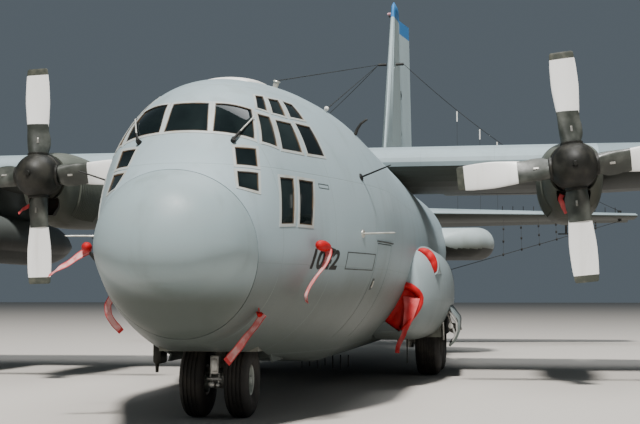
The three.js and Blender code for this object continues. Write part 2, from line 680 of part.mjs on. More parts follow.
const tipThickness = (x) => {
  const foil = wingFoilAt(Math.min(Math.abs(x), wingTip.x));
  return foil.thickness * (Math.abs(x) > wingTip.x ? 0.4 : 1);
};
for (const { name, sign } of sides) {
  const inboard = wingBreak.x + seatGap;
  const whole = wingPanel(
    wingX([inboard, boxEnd, wingTip.x, halfSpan], sign),
    wholeOutline,
    (x) => ({ ...wingFoilAt(Math.min(Math.abs(x), wingTip.x)), x, thickness: tipThickness(x) }),
  );
  const flapBay = wingPanel(
    wingX([inboard - 100, boxEnd - 20], sign),
    (foil) => rearOutline(foil, wingBoxShare),
  );
  const coveSpan = [aileronSpan.inboard - endGap, aileronSpan.outboard + endGap];
  const cove = loft(wingX(coveSpan, sign).map(coveRing));
  add(`outer_wing_${name}`, 'paint', whole.subtract(flapBay).subtract(cove));
  const aileron = wingPanel(
    wingX([aileronSpan.inboard, aileronSpan.outboard], sign),
    (foil) => flapOutline(foil, aileronShare).points,
  );
  const innerPin = hingePin(wingFoilAt, aileronShare, aileronSpan.inboard * sign, -sign);
  const outerPin = hingePin(wingFoilAt, aileronShare, aileronSpan.outboard * sign, sign);
  add(`aileron_${name}`, 'paint', aileron.add(innerPin).add(outerPin));
  for (const span of flapSpans) {
    const flap = wingPanel(wingX([span.inboard, span.outboard], sign), (foil) => {
      const front = (wingBoxShare * foil.chord + runningGap) / foil.chord;
      return [[front, 1], [front, -1], [taperShare, -1], [1, -1], [1, 1], [taperShare, 1]].map(
        ([share, side]) => foilPoint(foil, share, side),
      );
    });
    const pads = [span.inboard + flapPadInsets[0], span.outboard - flapPadInsets[1]].map(
      (x) => flapPad(x, sign),
    );
    add(`${span.name}_flap_${name}`, 'paint', flap.add(pads[0]).add(pads[1]));
  }
}

// Tail: stabiliser through the fuselage, fin on top of it, elevators and rudder
const thinTip = (foilOf, tipX, share) => (x) => {
  const foil = foilOf(x);
  return { ...foil, thickness: foil.thickness * (Math.abs(x) >= tipX ? share : 1) };
};
const stabWhole = wingPanel(
  [-stabTip.x, -stabTip.x + 60, 0, stabTip.x - 60, stabTip.x],
  wholeOutline, thinTip(stabFoilAt, stabTip.x, 0.45),
);
const elevatorBay = wingPanel(
  [-1, 0, 1].map((side) => side * (elevatorSpan.outboard + endGap)),
  (foil) => rearOutline(foil, stabBoxShare), stabFoilAt,
);
const stabiliser = stabWhole.subtract(elevatorBay);
add('stabiliser', 'paint', stabiliser);

// Turns a surface's rear edge down about its hinge line
function drooped(surface, foilOf, share, span, sign, angle) {
  const [inner, outer] = [span.inboard, span.outboard].map((x) => {
    const [across, station, z] = hingePoint(foilOf, share, x * sign);
    return new THREE.Vector3(across, yOf(station), z);
  });
  const axis = outer.clone().sub(inner).multiplyScalar(sign).normalize();
  const geometry = geometryOf(surface);
  geometry.translate(-inner.x, -inner.y, -inner.z);
  geometry.applyMatrix4(new THREE.Matrix4().makeRotationAxis(axis, -degrees(angle)));
  geometry.translate(inner.x, inner.y, inner.z);
  return solidOf(geometry);
}

for (const { name, sign } of sides) {
  const elevator = wingPanel(
    wingX([elevatorSpan.inboard, elevatorSpan.outboard], sign),
    (foil) => flapOutline(foil, elevatorShare).points,
    stabFoilAt,
  );
  const pin = hingePin(stabFoilAt, elevatorShare, elevatorSpan.outboard * sign, sign);
  const hung = drooped(elevator.add(pin), stabFoilAt, elevatorShare, elevatorSpan, sign, elevatorDroop);
  add(`elevator_${name}`, 'paint', hung);
}

// An upright section from the leading edge to a blunt rear face
function finRing(z, lead, rear, thickness) {
  const shares = [1, 0.6, 0.3, 0.12, 0.03];
  const chord = rear - lead;
  const half = (share) => thickness * Math.min(1, 1.6 * Math.sqrt(share) - 0.6 * share);
  const [port, starboard] = [1, -1].map((sign) => (
    shares.map((share) => new THREE.Vector3(half(share) * sign, yOf(lead + share * chord), z))));
  return [...port, new THREE.Vector3(0, yOf(lead), z), ...starboard.reverse()];
}
const rudderRadius = (z) => {
  const share = (z - rudder.bottom) / (rudder.top - rudder.bottom);
  return 175 + (105 - 175) * share;
};
const finRear = (z) => rudderHingeStation - rudderRadius(z) - runningGap - 8;
const finHalf = (z) => rudderRadius(z) + 22;
const finBody = loft([
  finRing(finBase.z, finBase.lead, finRear(finBase.z), finHalf(finBase.z) * 1.25),
  finRing(finTop.z, finTop.lead, finRear(finTop.z), finHalf(finTop.z)),
]);
const finTrail = (z, lead, trail, half) => {
  const chord = trail - lead;
  const shares = [[1, 0.08], [0.55, 0.8], [0.3, 1], [0.12, 0.75], [0.03, 0.4]];
  const [port, starboard] = [1, -1].map((sign) => (
    shares.map(([share, k]) => new THREE.Vector3(half * k * sign, yOf(lead + share * chord), z))));
  return [...port, new THREE.Vector3(0, yOf(lead), z), ...starboard.reverse()];
};
const capBottom = rudder.top + runningGap;
const finCapBody = loft([
  finTrail(capBottom, finTop.lead - 10, finCap.trail + 60, finHalf(capBottom)),
  finTrail(finCap.z - 140, finCap.lead - 90, finCap.trail, finHalf(capBottom) * 0.8),
  finTrail(finCap.z, finCap.lead + 150, finCap.trail - 200, finHalf(capBottom) * 0.25),
]);
const hullSeat = hull(tailSections, -seatGap);
add('fin', 'paint', finBody.add(finCapBody).subtract(hullSeat));

function rudderRing(z, chord) {
  const radius = rudderRadius(z);
  const ring = [];
  for (let i = 0; i <= 6; i += 1) {
    const angle = (Math.PI * i) / 6;
    ring.push(new THREE.Vector2(radius * Math.cos(angle), -radius * Math.sin(angle)));
  }
  const rear = [[-0.56, 0.5], [-0.06, 1], [0.06, 1], [0.56, 0.5]];
  for (const [side, share] of rear) ring.push(new THREE.Vector2(radius * side, chord * share));
  return ring.map((p) => {
    p.rotateAround(new THREE.Vector2(0, 0), -degrees(rudder.restTurn));
    return new THREE.Vector3(p.x, yOf(rudderHingeStation) + p.y, z);
  });
}
const rudderStub = bar(
  [0, rudderHingeStation, rudder.top - 40],
  [0, rudderHingeStation, capBottom - seatGap], 45, 10,
);
add('rudder', 'paint', loft([
  rudderRing(rudder.bottom, rudder.baseChord),
  rudderRing(rudder.top, rudder.topChord),
]).add(rudderStub));

// Engines: cowl, plain engine block and propeller for each of the four
function nacelleRing([station, halfWidth, bottom, top], column, sign, inset) {
  const ring = [];
  for (let i = 0; i < nacelleSides; i += 1) {
    const angle = ((i + 0.5) / nacelleSides) * Math.PI * 2;
    const c = Math.cos(angle);
    const s = Math.sin(angle);
    const x = (halfWidth - inset) * Math.sign(c) * Math.abs(c) ** 0.85;
    const z = s >= 0 ? (top - inset) * s ** 0.85 : (bottom + inset) * Math.abs(s) ** 0.85;
    ring.push(new THREE.Vector3(column.x * sign + x, yOf(station), column.z + z));
  }
  return ring;
}

function bladeRing([radius, chord, thickness, pitch]) {
  const outline = [[0.5, 0], [0.15, 0.5], [-0.35, 0.4], [-0.5, 0], [-0.35, -0.4], [0.15, -0.5]];
  const [c, s] = [Math.cos(degrees(pitch)), Math.sin(degrees(pitch))];
  return outline.map(([u, v]) => {
    const x = u * chord;
    const y = v * thickness;
    return new THREE.Vector3(x * c - y * s, x * s + y * c, radius);
  });
}

function propellerSolid(turn) {
  const backPlate = propStation + 215;
  const hub = [
    ...spinnerProfile, [430, backPlate], [90, backPlate],
    [90, engineBlock.front - seatGap], [0, engineBlock.front - seatGap],
  ];
  let body = turned(hub.map(([r, station]) => [r, yOf(station)]), 16);
  for (let k = 0; k < 4; k += 1) {
    const rings = bladeSections.map(bladeRing);
    const turnY = degrees(-turn + 90 * k);
    const placed = rings.map((ring) => ring.map((p) => {
      const q = p.clone().applyAxisAngle(new THREE.Vector3(0, 1, 0), turnY);
      q.y += yOf(propStation);
      return q;
    }));
    body = body.add(loft(placed));
  }
  return body;
}

for (const column of engineColumns) {
  for (const { name, sign } of sides) {
    const label = `${column.name}_${name}`;
    const x = column.x * sign;
    const cowlOuter = loft(nacelleSections.map((row) => nacelleRing(row, column, sign, 0)));
    const innerRows = nacelleSections.map((row, k) => [row[0] + [-5, 0, 0, 0, 0, 5][k], ...row.slice(1)]);
    const cowlInner = loft(innerRows.map((row) => nacelleRing(row, column, sign, nacelleWall)));
    const wingSeat = column.name === 'inner' ? centreWingSeat : outerWingSeat(sign);
    const firewall = block(
      [x - 800, 10880, column.z - 1000],
      [x + 800, 10960, column.z + 700],
    ).intersect(cowlOuter);
    const engineHole = block(
      [x - engineBlock.width / 2 - seatGap, 10000, column.z + engineBlock.bottom - seatGap],
      [x + engineBlock.width / 2 + seatGap, 12000, column.z + 900],
    );
    const mouth = [...chinIntake, ...chinIntake.map(([across, up]) => [-across, up]).reverse()];
    const intake = loft([8700, chinIntakeRear].map((station) => (
      mouth.map(([across, up]) => new THREE.Vector3(x + across, yOf(station), column.z + up)))));
    const shell = cowlOuter.subtract(cowlInner).subtract(intake);
    const cowl = shell.add(firewall.subtract(engineHole)).subtract(wingSeat);
    add(`nacelle_${label}`, 'paint', cowl);
    add(`engine_${label}`, 'engine', block(
      [x - engineBlock.width / 2, engineBlock.front, column.z + engineBlock.bottom],
      [x + engineBlock.width / 2, engineBlock.rear, column.z + engineBlock.top],
    ).subtract(wingSeat));
    const geometry = geometryOf(propellerSolid(bladeRestTurn[label]));
    geometry.translate(x, 0, column.z);
    const mesh = new THREE.Mesh(geometry, looks.propeller);
    mesh.name = `propeller_${label}`;
    part[mesh.name] = mesh;
  }
}

// Sponsons: the wheel fairings along the lower sides, with the wheel wells open below
function sponsonRing([station, outer, bottom, top], sign) {
  const inner = 1400;
  const middle = (bottom + top) / 2;
  const half = (top - bottom) / 2;
  const reach = outer - 1900;
  const ring = [];
  for (let i = 0; i <= sponsonSides; i += 1) {
    const angle = -Math.PI / 2 + (Math.PI * i) / sponsonSides;
    const s = Math.sin(angle);
    const upper = s > 0;
    const c = Math.cos(angle) ** (upper ? 0.7 : 0.85);
    const rise = half * Math.sign(s) * Math.abs(s) ** (upper ? 0.8 : 1);
    ring.push(new THREE.Vector3((1900 + reach * c) * sign, yOf(station), middle + rise));
  }
  ring.push(new THREE.Vector3(inner * sign, yOf(station), top));
  ring.push(new THREE.Vector3(inner * sign, yOf(station), bottom));
  return ring;
}
// The open wheel door hangs from the top edge of the well's side opening, and tapers in towards the rear
function gearDoor(sign) {
  const inside = gearDoorFace.map(([x, z]) => [x - gearDoorThickness, z]);
  const outline = [...gearDoorFace, ...inside.reverse()];
  const ends = [[wheelWell.front + runningGap, 0], [wheelWell.rear - runningGap, gearDoorTaper]];
  return loft(ends.map(([station, taper]) => (
    outline.map(([x, z]) => new THREE.Vector3((x - taper) * sign, yOf(station), z)))));
}

const hullForSponson = hull([holdSections[0], tailSections[0], tailSections[1]], -seatGap);
for (const { name, sign } of sides) {
  const fairing = loft(sponsonSections.map((row) => sponsonRing(row, sign))).subtract(hullForSponson);
  const xs = ordered(wheelWell.inner * sign, wheelWell.outer * sign);
  const well = block([xs[0], wheelWell.front, 100], [xs[1], wheelWell.rear, wheelWell.top]);
  const limits = ordered(sign * (wheelWell.outer + wellWall / 2), sign * 1000);
  const wellWalls = wellBlock(sign, 0).intersect(block([limits[0], 9000, 780], [limits[1], 16000, 3000]));
  const side = ordered(sign * 2400, sign * 2800);
  const sideOpening = block([side[0], wheelWell.front, 100], [side[1], wheelWell.rear, wheelWell.sideTop]);
  const intake = loft([8200, sponsonIntakeRear].map((station) => (
    sponsonIntake.map(([x, z]) => new THREE.Vector3(x * sign, yOf(station), z)))));
  const shell = fairing.add(wellWalls).subtract(well).subtract(sideOpening).subtract(intake);
  add(`sponson_${name}`, 'paint', shell.add(gearDoor(sign)));
}

// Pods: blisters on the aft fuselage and fuel tanks under the wings
for (const { name, sign } of sides) {
  const rings = blisterShape.map(([along, wide, tall]) => {
    const station = blister.front + (blister.rear - blister.front) * along;
    const root = 1300;
    const hullEdge = 1950;
    const outer = hullEdge + (blister.outer - hullEdge) * wide;
    const half = blister.halfHeight * tall;
    const ring = [];
    for (let i = 0; i <= 8; i += 1) {
      const angle = -Math.PI / 2 + (Math.PI * i) / 8;
      ring.push(new THREE.Vector3(
        (outer - half * (1 - Math.cos(angle))) * sign, yOf(station), blister.z + half * Math.sin(angle)));
    }
    ring.push(new THREE.Vector3(root * sign, yOf(station), blister.z + half));
    ring.push(new THREE.Vector3(root * sign, yOf(station), blister.z - half));
    return ring;
  });
  add(`blister_${name}`, 'radome', loft(rings).subtract(hullSeat));
}

for (const { name, sign } of sides) {
  const body = turned(tankProfile.map(([r, d]) => [r, yOf(tank.front + d)]), 20);
  const shifted = geometryOf(body);
  shifted.translate(tank.x * sign, 0, tank.z);
  const plan = [
    [pylon.front, tank.z + 300], [pylon.rear, tank.z + 300],
    [pylon.rear, 4250], [pylon.front + 60, 4250],
  ];
  const xs = ordered((tank.x - pylon.halfWidth) * sign, (tank.x + pylon.halfWidth) * sign);
  const stem = slab(plan, xs[0], xs[1]).subtract(outerWingSeat(sign));
  add(`wing_tank_${name}`, 'paint', solidOf(shifted).add(stem));
}

// Landing gear: tyres, wheels, main legs, nose leg and the steered fork
function tyreSolid(radius, width, rim) {
  const half = width / 2;
  const profile = [
    [rim, -half * 0.72], [rim + (radius - rim) * 0.4, -half], [rim + (radius - rim) * 0.85, -half * 0.88],
    [radius, -half * 0.55], [radius, half * 0.55], [rim + (radius - rim) * 0.85, half * 0.88],
    [rim + (radius - rim) * 0.4, half], [rim, half * 0.72], [rim, -half * 0.72],
  ];
  return turned(profile, wheelFacets, 'x');
}

function place(solid, x, station, z) {
  const geometry = geometryOf(solid);
  geometry.translate(x, yOf(station), z);
  return solidOf(geometry);
}

for (const { name, sign } of sides) {
  const x = mainGear.strutX * sign;
  let leg = bar([x, mainGear.stations[0], 1500], [x, mainGear.stations[1], 1500], 60);
  mainGear.stations.forEach((station, k) => {
    const label = `${name}_${k === 0 ? 'front' : 'rear'}`;
    const z = mainGear.tyreRadius;
    const tyre = tyreSolid(mainGear.tyreRadius, mainGear.tyreWidth, mainGear.rimRadius);
    add(`main_tyre_${label}`, 'tyre', place(tyre, mainGear.x * sign, station, z));
    const rim = mainGear.rimRadius - seatGap;
    const profile = [
      [70, -150], [120, -150], [150, -60], [rim - 30, -60], [rim, -175],
      [rim, 175], [rim - 30, 60], [150, 60], [120, 150], [70, 150], [70, -150],
    ];
    const wheel = turned(profile, wheelFacets, 'x');
    add(`main_wheel_${label}`, 'rim', place(wheel, mainGear.x * sign, station, z));
    leg = leg.add(bar([x, station, 560], [x, station, wheelWell.top - seatGap], 85));
    leg = leg.add(bar([x - 60 * sign, station, z], [(mainGear.x + 165) * sign, station, z], 67.5));
  });
  add(`main_leg_${name}`, 'strut', leg);
}

const noseZ = noseGear.tyreRadius;
const deckBottom = flightDeckTop - flightDeckThickness;
add('nose_leg', 'strut', bar(
  [0, noseGear.station, 1020], [0, noseGear.station, deckBottom - seatGap], 95).add(
  bar([0, noseGear.station, 1500], [0, noseGear.station - 700, deckBottom - 60], 45)));
const forkBlock = bar([-85, noseGear.station, noseZ], [85, noseGear.station, noseZ], 120);
const axleHole = bar([-200, noseGear.station, noseZ], [200, noseGear.station, noseZ], 62, 24);
add('nose_fork', 'strut', bar([0, noseGear.station, noseZ], [0, noseGear.station, 1020 - seatGap], 70).add(
  forkBlock).subtract(axleHole));
let noseWheels = bar(
  [-noseGear.x - 120, noseGear.station, noseZ],
  [noseGear.x + 120, noseGear.station, noseZ], 60.6, 24,
);
for (const { name, sign } of sides) {
  const rim = noseGear.rimRadius - seatGap;
  const profile = [
    [0, -100], [95, -100], [110, -45], [rim - 25, -45], [rim, -115],
    [rim, 115], [rim - 25, 45], [110, 45], [95, 100], [0, 100],
  ];
  const wheel = turned(profile, wheelFacets, 'x');
  noseWheels = noseWheels.add(place(wheel, noseGear.x * sign, noseGear.station, noseZ));
  const tyre = tyreSolid(noseGear.tyreRadius, noseGear.tyreWidth, noseGear.rimRadius);
  add(`nose_tyre_${name}`, 'tyre', place(tyre, noseGear.x * sign, noseGear.station, noseZ));
}
add('nose_wheels', 'rim', noseWheels);

const airframe = new THREE.Group();
for (const mesh of Object.values(part)) airframe.add(mesh);
airframe.scale.setScalar(modelScale);
export default airframe;
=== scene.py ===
import json
import math

import bpy
import numpy as np
from mathutils import Matrix, Vector

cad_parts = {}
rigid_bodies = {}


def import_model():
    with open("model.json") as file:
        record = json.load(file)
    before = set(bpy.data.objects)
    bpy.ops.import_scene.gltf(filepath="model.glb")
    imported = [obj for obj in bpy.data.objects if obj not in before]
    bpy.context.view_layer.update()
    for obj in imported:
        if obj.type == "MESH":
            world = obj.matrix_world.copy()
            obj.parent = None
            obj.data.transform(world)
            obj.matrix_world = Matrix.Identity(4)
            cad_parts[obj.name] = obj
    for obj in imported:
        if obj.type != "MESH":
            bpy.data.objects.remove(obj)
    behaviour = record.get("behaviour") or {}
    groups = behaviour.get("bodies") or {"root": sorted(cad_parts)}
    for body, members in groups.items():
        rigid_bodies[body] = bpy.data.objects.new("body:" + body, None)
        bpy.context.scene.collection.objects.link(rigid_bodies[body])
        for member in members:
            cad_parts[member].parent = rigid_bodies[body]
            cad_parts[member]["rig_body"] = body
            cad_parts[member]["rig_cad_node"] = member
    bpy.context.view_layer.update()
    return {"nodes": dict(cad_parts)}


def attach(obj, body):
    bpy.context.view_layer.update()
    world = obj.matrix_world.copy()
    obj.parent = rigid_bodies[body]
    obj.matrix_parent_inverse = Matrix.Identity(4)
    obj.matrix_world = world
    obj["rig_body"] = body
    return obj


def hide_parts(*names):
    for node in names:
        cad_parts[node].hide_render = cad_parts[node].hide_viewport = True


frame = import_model()

# The view, the light and the floor.
# Forms are given in the real plane's metres, with stations counted aft from the nose tip. at() brings such a
# point into the 1:2 model's frame. Lights, floor, bevels, cutters and welds are in the model's own metres.
MODEL_SCALE = 0.5
PLANE_LENGTH = 29.79
MIDDLE_STATION = PLANE_LENGTH / 2


def at(x, station, z):
    return Vector((x, station - MIDDLE_STATION, z)) * MODEL_SCALE


EYE_YAW, EYE_PITCH = math.radians(9.31), math.radians(4.153)
bpy.ops.object.camera_add(
    location=at(3.874, -12.315, 1.603), rotation=(math.pi / 2 + EYE_PITCH, 0, EYE_YAW)
)
camera = bpy.context.object
camera.data.lens = 65.67
camera.data.sensor_width = 36
camera.data.clip_end = 400
bpy.context.scene.camera = camera


def soft_light(name, place, aim, size, power, colour):
    bpy.ops.object.light_add(type="AREA", location=place)
    light = bpy.context.object
    light.name = name
    light.data.shape = "DISK"
    light.data.size = size
    light.data.energy = power
    light.data.color = colour
    light.rotation_euler = (Vector(place) - Vector(aim)).to_track_quat("Z", "Y").to_euler()


soft_light("key_light", (2, -34, 52), (0, -4, 1.5), 7, 72000, (1.0, 0.985, 0.955))
soft_light("top_light", (2, 2, 20), (0, 0, 2), 14, 2400, (0.95, 0.98, 1.0))
soft_light("side_light", (17, -9, 11), (0, -2, 1.5), 10, 120, (0.94, 0.97, 1.0))
world = bpy.context.scene.world or bpy.data.worlds.new("studio")
bpy.context.scene.world = world
world.use_nodes = True
world.node_tree.nodes["Background"].inputs["Color"].default_value = (0.70, 0.86, 1.0, 1)
world.node_tree.nodes["Background"].inputs["Strength"].default_value = 0.14

bpy.ops.mesh.primitive_plane_add(size=300, location=(0, 0, -0.001))
floor = bpy.context.object
floor.name = "floor"
floor_finish = bpy.data.materials.new("floor_finish")
floor_finish.use_nodes = True
floor_shader = floor_finish.node_tree.nodes["Principled BSDF"]
floor_shader.inputs["Base Color"].default_value = (0.475, 0.443, 0.405, 1)
floor_shader.inputs["Roughness"].default_value = 0.85
floor.data.materials.append(floor_finish)

# Radome: the rounded nose cover over the radar, moulded in glass fibre and painted as the plane is.
# It is bolted on along a joint that leans forward at the top, and shows as a thin dark line.
# Each hull row: station, flat bottom, round bottom, top, half width, height of the widest point, roundness.
HULL_ROWS = np.array([
    (0, 2.20, 2.20, 2.20, 0, 2.20, 2), (0.06, 1.95, 1.95, 2.50, 0.33, 2.21, 2),
    (0.2, 1.79, 1.79, 2.76, 0.61, 2.21, 2), (0.45, 1.68, 1.68, 2.98, 0.84, 2.20, 2),
    (0.62, 1.59, 1.59, 3.06, 0.915, 2.19, 2.02), (0.75, 1.44, 1.44, 3.13, 0.96, 2.18, 2.05),
    (1.0, 1.17, 1.17, 3.31, 1.02, 2.19, 2.1),
    (1.26, 1.06, 1.05, 3.63, 1.105, 2.22, 2.1), (1.53, 1.01, 0.98, 4.02, 1.20, 2.25, 2.15),
    (1.9, 0.96, 0.91, 4.24, 1.335, 2.30, 2.1), (2.42, 0.90, 0.81, 4.44, 1.525, 2.36, 2.05),
    (3.05, 0.83, 0.69, 4.57, 1.755, 2.42, 2), (4.2, 0.71, 0.50, 4.70, 2.06, 2.51, 2),
    (5.14, 0.64, 0.41, 4.72, 2.16, 2.56, 2), (17.64, 0.64, 0.41, 4.72, 2.16, 2.56, 2),
    (19.3, 1.05, 0.85, 4.72, 2.13, 2.78, 2), (21.0, 1.70, 1.50, 4.72, 2.00, 3.13, 2),
    (22.8, 2.50, 2.33, 4.73, 1.72, 3.56, 2), (24.6, 3.30, 3.15, 4.75, 1.30, 3.96, 2),
    (26.4, 3.86, 3.76, 4.75, 0.76, 4.25, 2), (28.2, 4.18, 4.14, 4.68, 0.20, 4.42, 2),
])
WALL = 0.12
HULL_COLUMNS = 144
WELD = 0.0002


def places_at(x, stations, z):
    """What at() does, for arrays of numbers, with one row for each place."""
    return np.stack([x, stations - MIDDLE_STATION, z], axis=1) * MODEL_SCALE


def only(*pieces):
    """Selects these pieces and no others; the last one is the active one."""
    bpy.ops.object.select_all(action="DESELECT")
    for piece in pieces:
        piece.select_set(True)
    bpy.context.view_layer.objects.active = pieces[-1]


def smooth_table(rows, stations, root=2.0):
    """The rows at any stations, on a curve through them without overshoot; a root over 1 rounds its start."""
    t, known = stations ** (1 / root), rows[:, 0] ** (1 / root)
    gaps = np.diff(known)
    slopes = np.diff(rows[:, 1:], axis=0) / gaps[:, None]
    rise = np.zeros_like(rows[:, 1:])
    same = slopes[:-1] * slopes[1:] > 0
    harmonic = 2 * slopes[:-1] * slopes[1:] / np.where(same, slopes[:-1] + slopes[1:], 1)
    rise[1:-1] = np.where(same, harmonic, 0)
    rise[0], rise[-1] = slopes[0], slopes[-1]
    k = np.clip(np.searchsorted(known, t, side="right") - 1, 0, len(known) - 2)
    s = ((t - known[k]) / gaps[k])[:, None]
    h = gaps[k][:, None]
    a, b = rows[k, 1:], rows[k + 1, 1:]
    return (
        a * (2 * s ** 3 - 3 * s ** 2 + 1) + rise[k] * h * (s ** 3 - 2 * s ** 2 + s)
        + b * (3 * s ** 2 - 2 * s ** 3) + rise[k + 1] * h * (s ** 3 - s ** 2)
    )


def hull_points(stations, angles, outset=0.0):
    """Points of the hull's skin, in the model's frame, moved out by outset (real metres)."""
    flat, low, top, half, mid, power = smooth_table(HULL_ROWS, stations).T
    c, s = np.cos(angles), np.sin(angles)
    share = np.where(s >= 0, 2 / power, 1.0)
    x = (half + outset) * np.sign(c) * np.abs(c) ** share
    above = (top + outset - mid) * np.abs(s) ** share
    z = mid + np.where(s >= 0, above, (mid - low + outset) * s)
    z = np.maximum(z, flat - outset)
    return places_at(x, stations, z)


def draped_grid(name, columns, rows, surface):
    """A grid primitive laid over a surface: surface(u, v) gives the place of each of its points."""
    bpy.ops.mesh.primitive_grid_add(x_subdivisions=columns, y_subdivisions=rows, size=1)
    piece = bpy.context.object
    piece.name = piece.data.name = name
    flat = np.zeros(len(piece.data.vertices) * 3, np.float32)
    piece.data.vertices.foreach_get("co", flat)
    flat = flat.reshape(-1, 3)
    places = surface(flat[:, 0] + 0.5, flat[:, 1] + 0.5).astype(np.float32)
    piece.data.vertices.foreach_set("co", places.ravel())
    only(piece)
    bpy.ops.object.mode_set(mode="EDIT")
    bpy.ops.mesh.select_all(action="SELECT")
    bpy.ops.mesh.remove_doubles(threshold=WELD)
    bpy.ops.mesh.normals_make_consistent(inside=False)
    bpy.ops.object.mode_set(mode="OBJECT")
    return piece


def hull_skin(name, front, rear, rings, outset=0.0, crowded=1.0):
    """The hull's skin between two stations; crowded over 1 sets its rings closer at the front."""
    def surface(u, v):
        stations = front + (rear - front) * v ** crowded
        return hull_points(stations, u * 2 * math.pi, outset)
    return draped_grid(name, HULL_COLUMNS, rings, surface)


def bisect(piece, point, normal, keep_below=True):
    """Cuts the piece along a plane and removes what lies past it, or short of it."""
    only(piece)
    bpy.ops.object.mode_set(mode="EDIT")
    bpy.ops.mesh.select_all(action="SELECT")
    bpy.ops.mesh.bisect(
        plane_co=point, plane_no=normal, clear_outer=keep_below, clear_inner=not keep_below
    )
    bpy.ops.object.mode_set(mode="OBJECT")


def modify(piece, kind, **settings):
    only(piece)
    modifier = piece.modifiers.new(kind.lower(), kind)
    for key, value in settings.items():
        setattr(modifier, key, value)
    bpy.ops.object.modifier_apply(modifier=modifier.name)
    return piece


def walled(piece, thickness=WALL):
    return modify(piece, "SOLIDIFY", thickness=thickness * MODEL_SCALE, offset=-1, use_even_offset=True)


def smooth(piece, degrees=32):
    only(piece)
    bpy.ops.object.shade_smooth_by_angle(angle=math.radians(degrees))
    return piece


class Field:
    """One number that varies over a surface; Python's operators add its Math nodes."""

    def __init__(self, finish, socket):
        self.finish, self.socket = finish, socket

    def math(self, operation, *values):
        return self.finish.node("ShaderNodeMath", {"operation": operation}, dict(enumerate(values)))

    def __add__(self, other):
        return self.math("ADD", self, other)

    def __sub__(self, other):
        return self.math("SUBTRACT", self, other)

    def __rsub__(self, other):
        return self.math("SUBTRACT", other, self)

    def __mul__(self, other):
        return self.math("MULTIPLY", self, other)

    def __gt__(self, other):
        return self.math("GREATER_THAN", self, other)

    def __mod__(self, other):
        return self.math("FLOORED_MODULO", self, other)

    def __abs__(self):
        return self.math("ABSOLUTE", self)

    __radd__, __rmul__ = __add__, __mul__


class Finish:
    """One material: its shader's own sockets, and the node() method that adds whatever feeds them."""

    def __init__(self, name, colour, roughness, sockets=()):
        self.material = bpy.data.materials.new(name)
        self.material.use_nodes = True
        self.tree = self.material.node_tree
        self.shader = self.tree.nodes["Principled BSDF"]
        self.set("Base Color", (*colour, 1))
        self.set("Roughness", roughness)
        for key, value in dict(sockets).items():
            self.set(key, value)
        self.place = self.node("ShaderNodeTexCoord", {}, {}, "Object")
        self.x, self.y, self.z = self.parts_of(self.place)

    def set(self, socket, value):
        self.feed(self.shader.inputs[socket], value)

    def feed(self, socket, value):
        if isinstance(value, Field):
            self.tree.links.new(value.socket, socket)
        else:
            socket.default_value = value

    def node(self, kind, settings, inputs, output=0):
        """Adds a node with its settings and the values or links of its sockets, and gives one output."""
        made = self.tree.nodes.new(kind)
        for key, value in settings.items():
            setattr(made, key, value)
        for key, value in inputs.items():
            self.feed(made.inputs[key], value)
        return Field(self, made.outputs[output])

    def parts_of(self, place):
        """The three numbers of a place."""
        split = self.node("ShaderNodeSeparateXYZ", {}, {0: place}).socket.node
        return [Field(self, split.outputs[k]) for k in range(3)]

    def uv(self):
        """The piece's own map: across and along it, each from 0 to 1."""
        return self.parts_of(self.node("ShaderNodeTexCoord", {}, {}, "UV"))[:2]

    def noise(self, scale, detail=4, stretch=None):
        place = self.place
        if stretch:
            place = self.node("ShaderNodeMapping", {}, {"Vector": place, "Scale": stretch})
        return self.node(
            "ShaderNodeTexNoise", {}, {"Vector": place, "Scale": scale, "Detail": detail}, "Fac"
        )

    def ramp(self, value, low, high):
        """0 below low, 1 above high, and smooth between."""
        return self.node(
            "ShaderNodeMapRange", {"interpolation_type": "SMOOTHSTEP"},
            {"Value": value, "From Min": low, "From Max": high, "To Min": 0.0, "To Max": 1.0},
        )

    def mix(self, share, first, second):
        blend = {"data_type": "RGBA"}
        first, second = ((*c, 1) if isinstance(c, tuple) and len(c) == 3 else c for c in (first, second))
        return self.node("ShaderNodeMix", blend, {0: share, 6: first, 7: second}, 2)

    def patches(self, noise, low, high, first, second, share=1):
        """Colours the surface in patches: first where a noise is below low, second where it is above high."""
        above = self.ramp(self.noise(*noise), low, high)
        self.set("Base Color", self.mix(above if share == 1 else above * share, first, second))

    def bump(self, height, strength, distance):
        normal = self.node(
            "ShaderNodeBump", {}, {"Height": height, "Strength": strength, "Distance": distance}, "Normal"
        )
        self.set("Normal", normal)


def seams(finish, value, spacing, offset, width):
    """1 along every seam line that crosses value at each spacing, 0 between."""
    place = (value - offset) % spacing
    near = place.math("MINIMUM", place, spacing - place)
    return 1 - finish.ramp(near, width * 0.4, width)


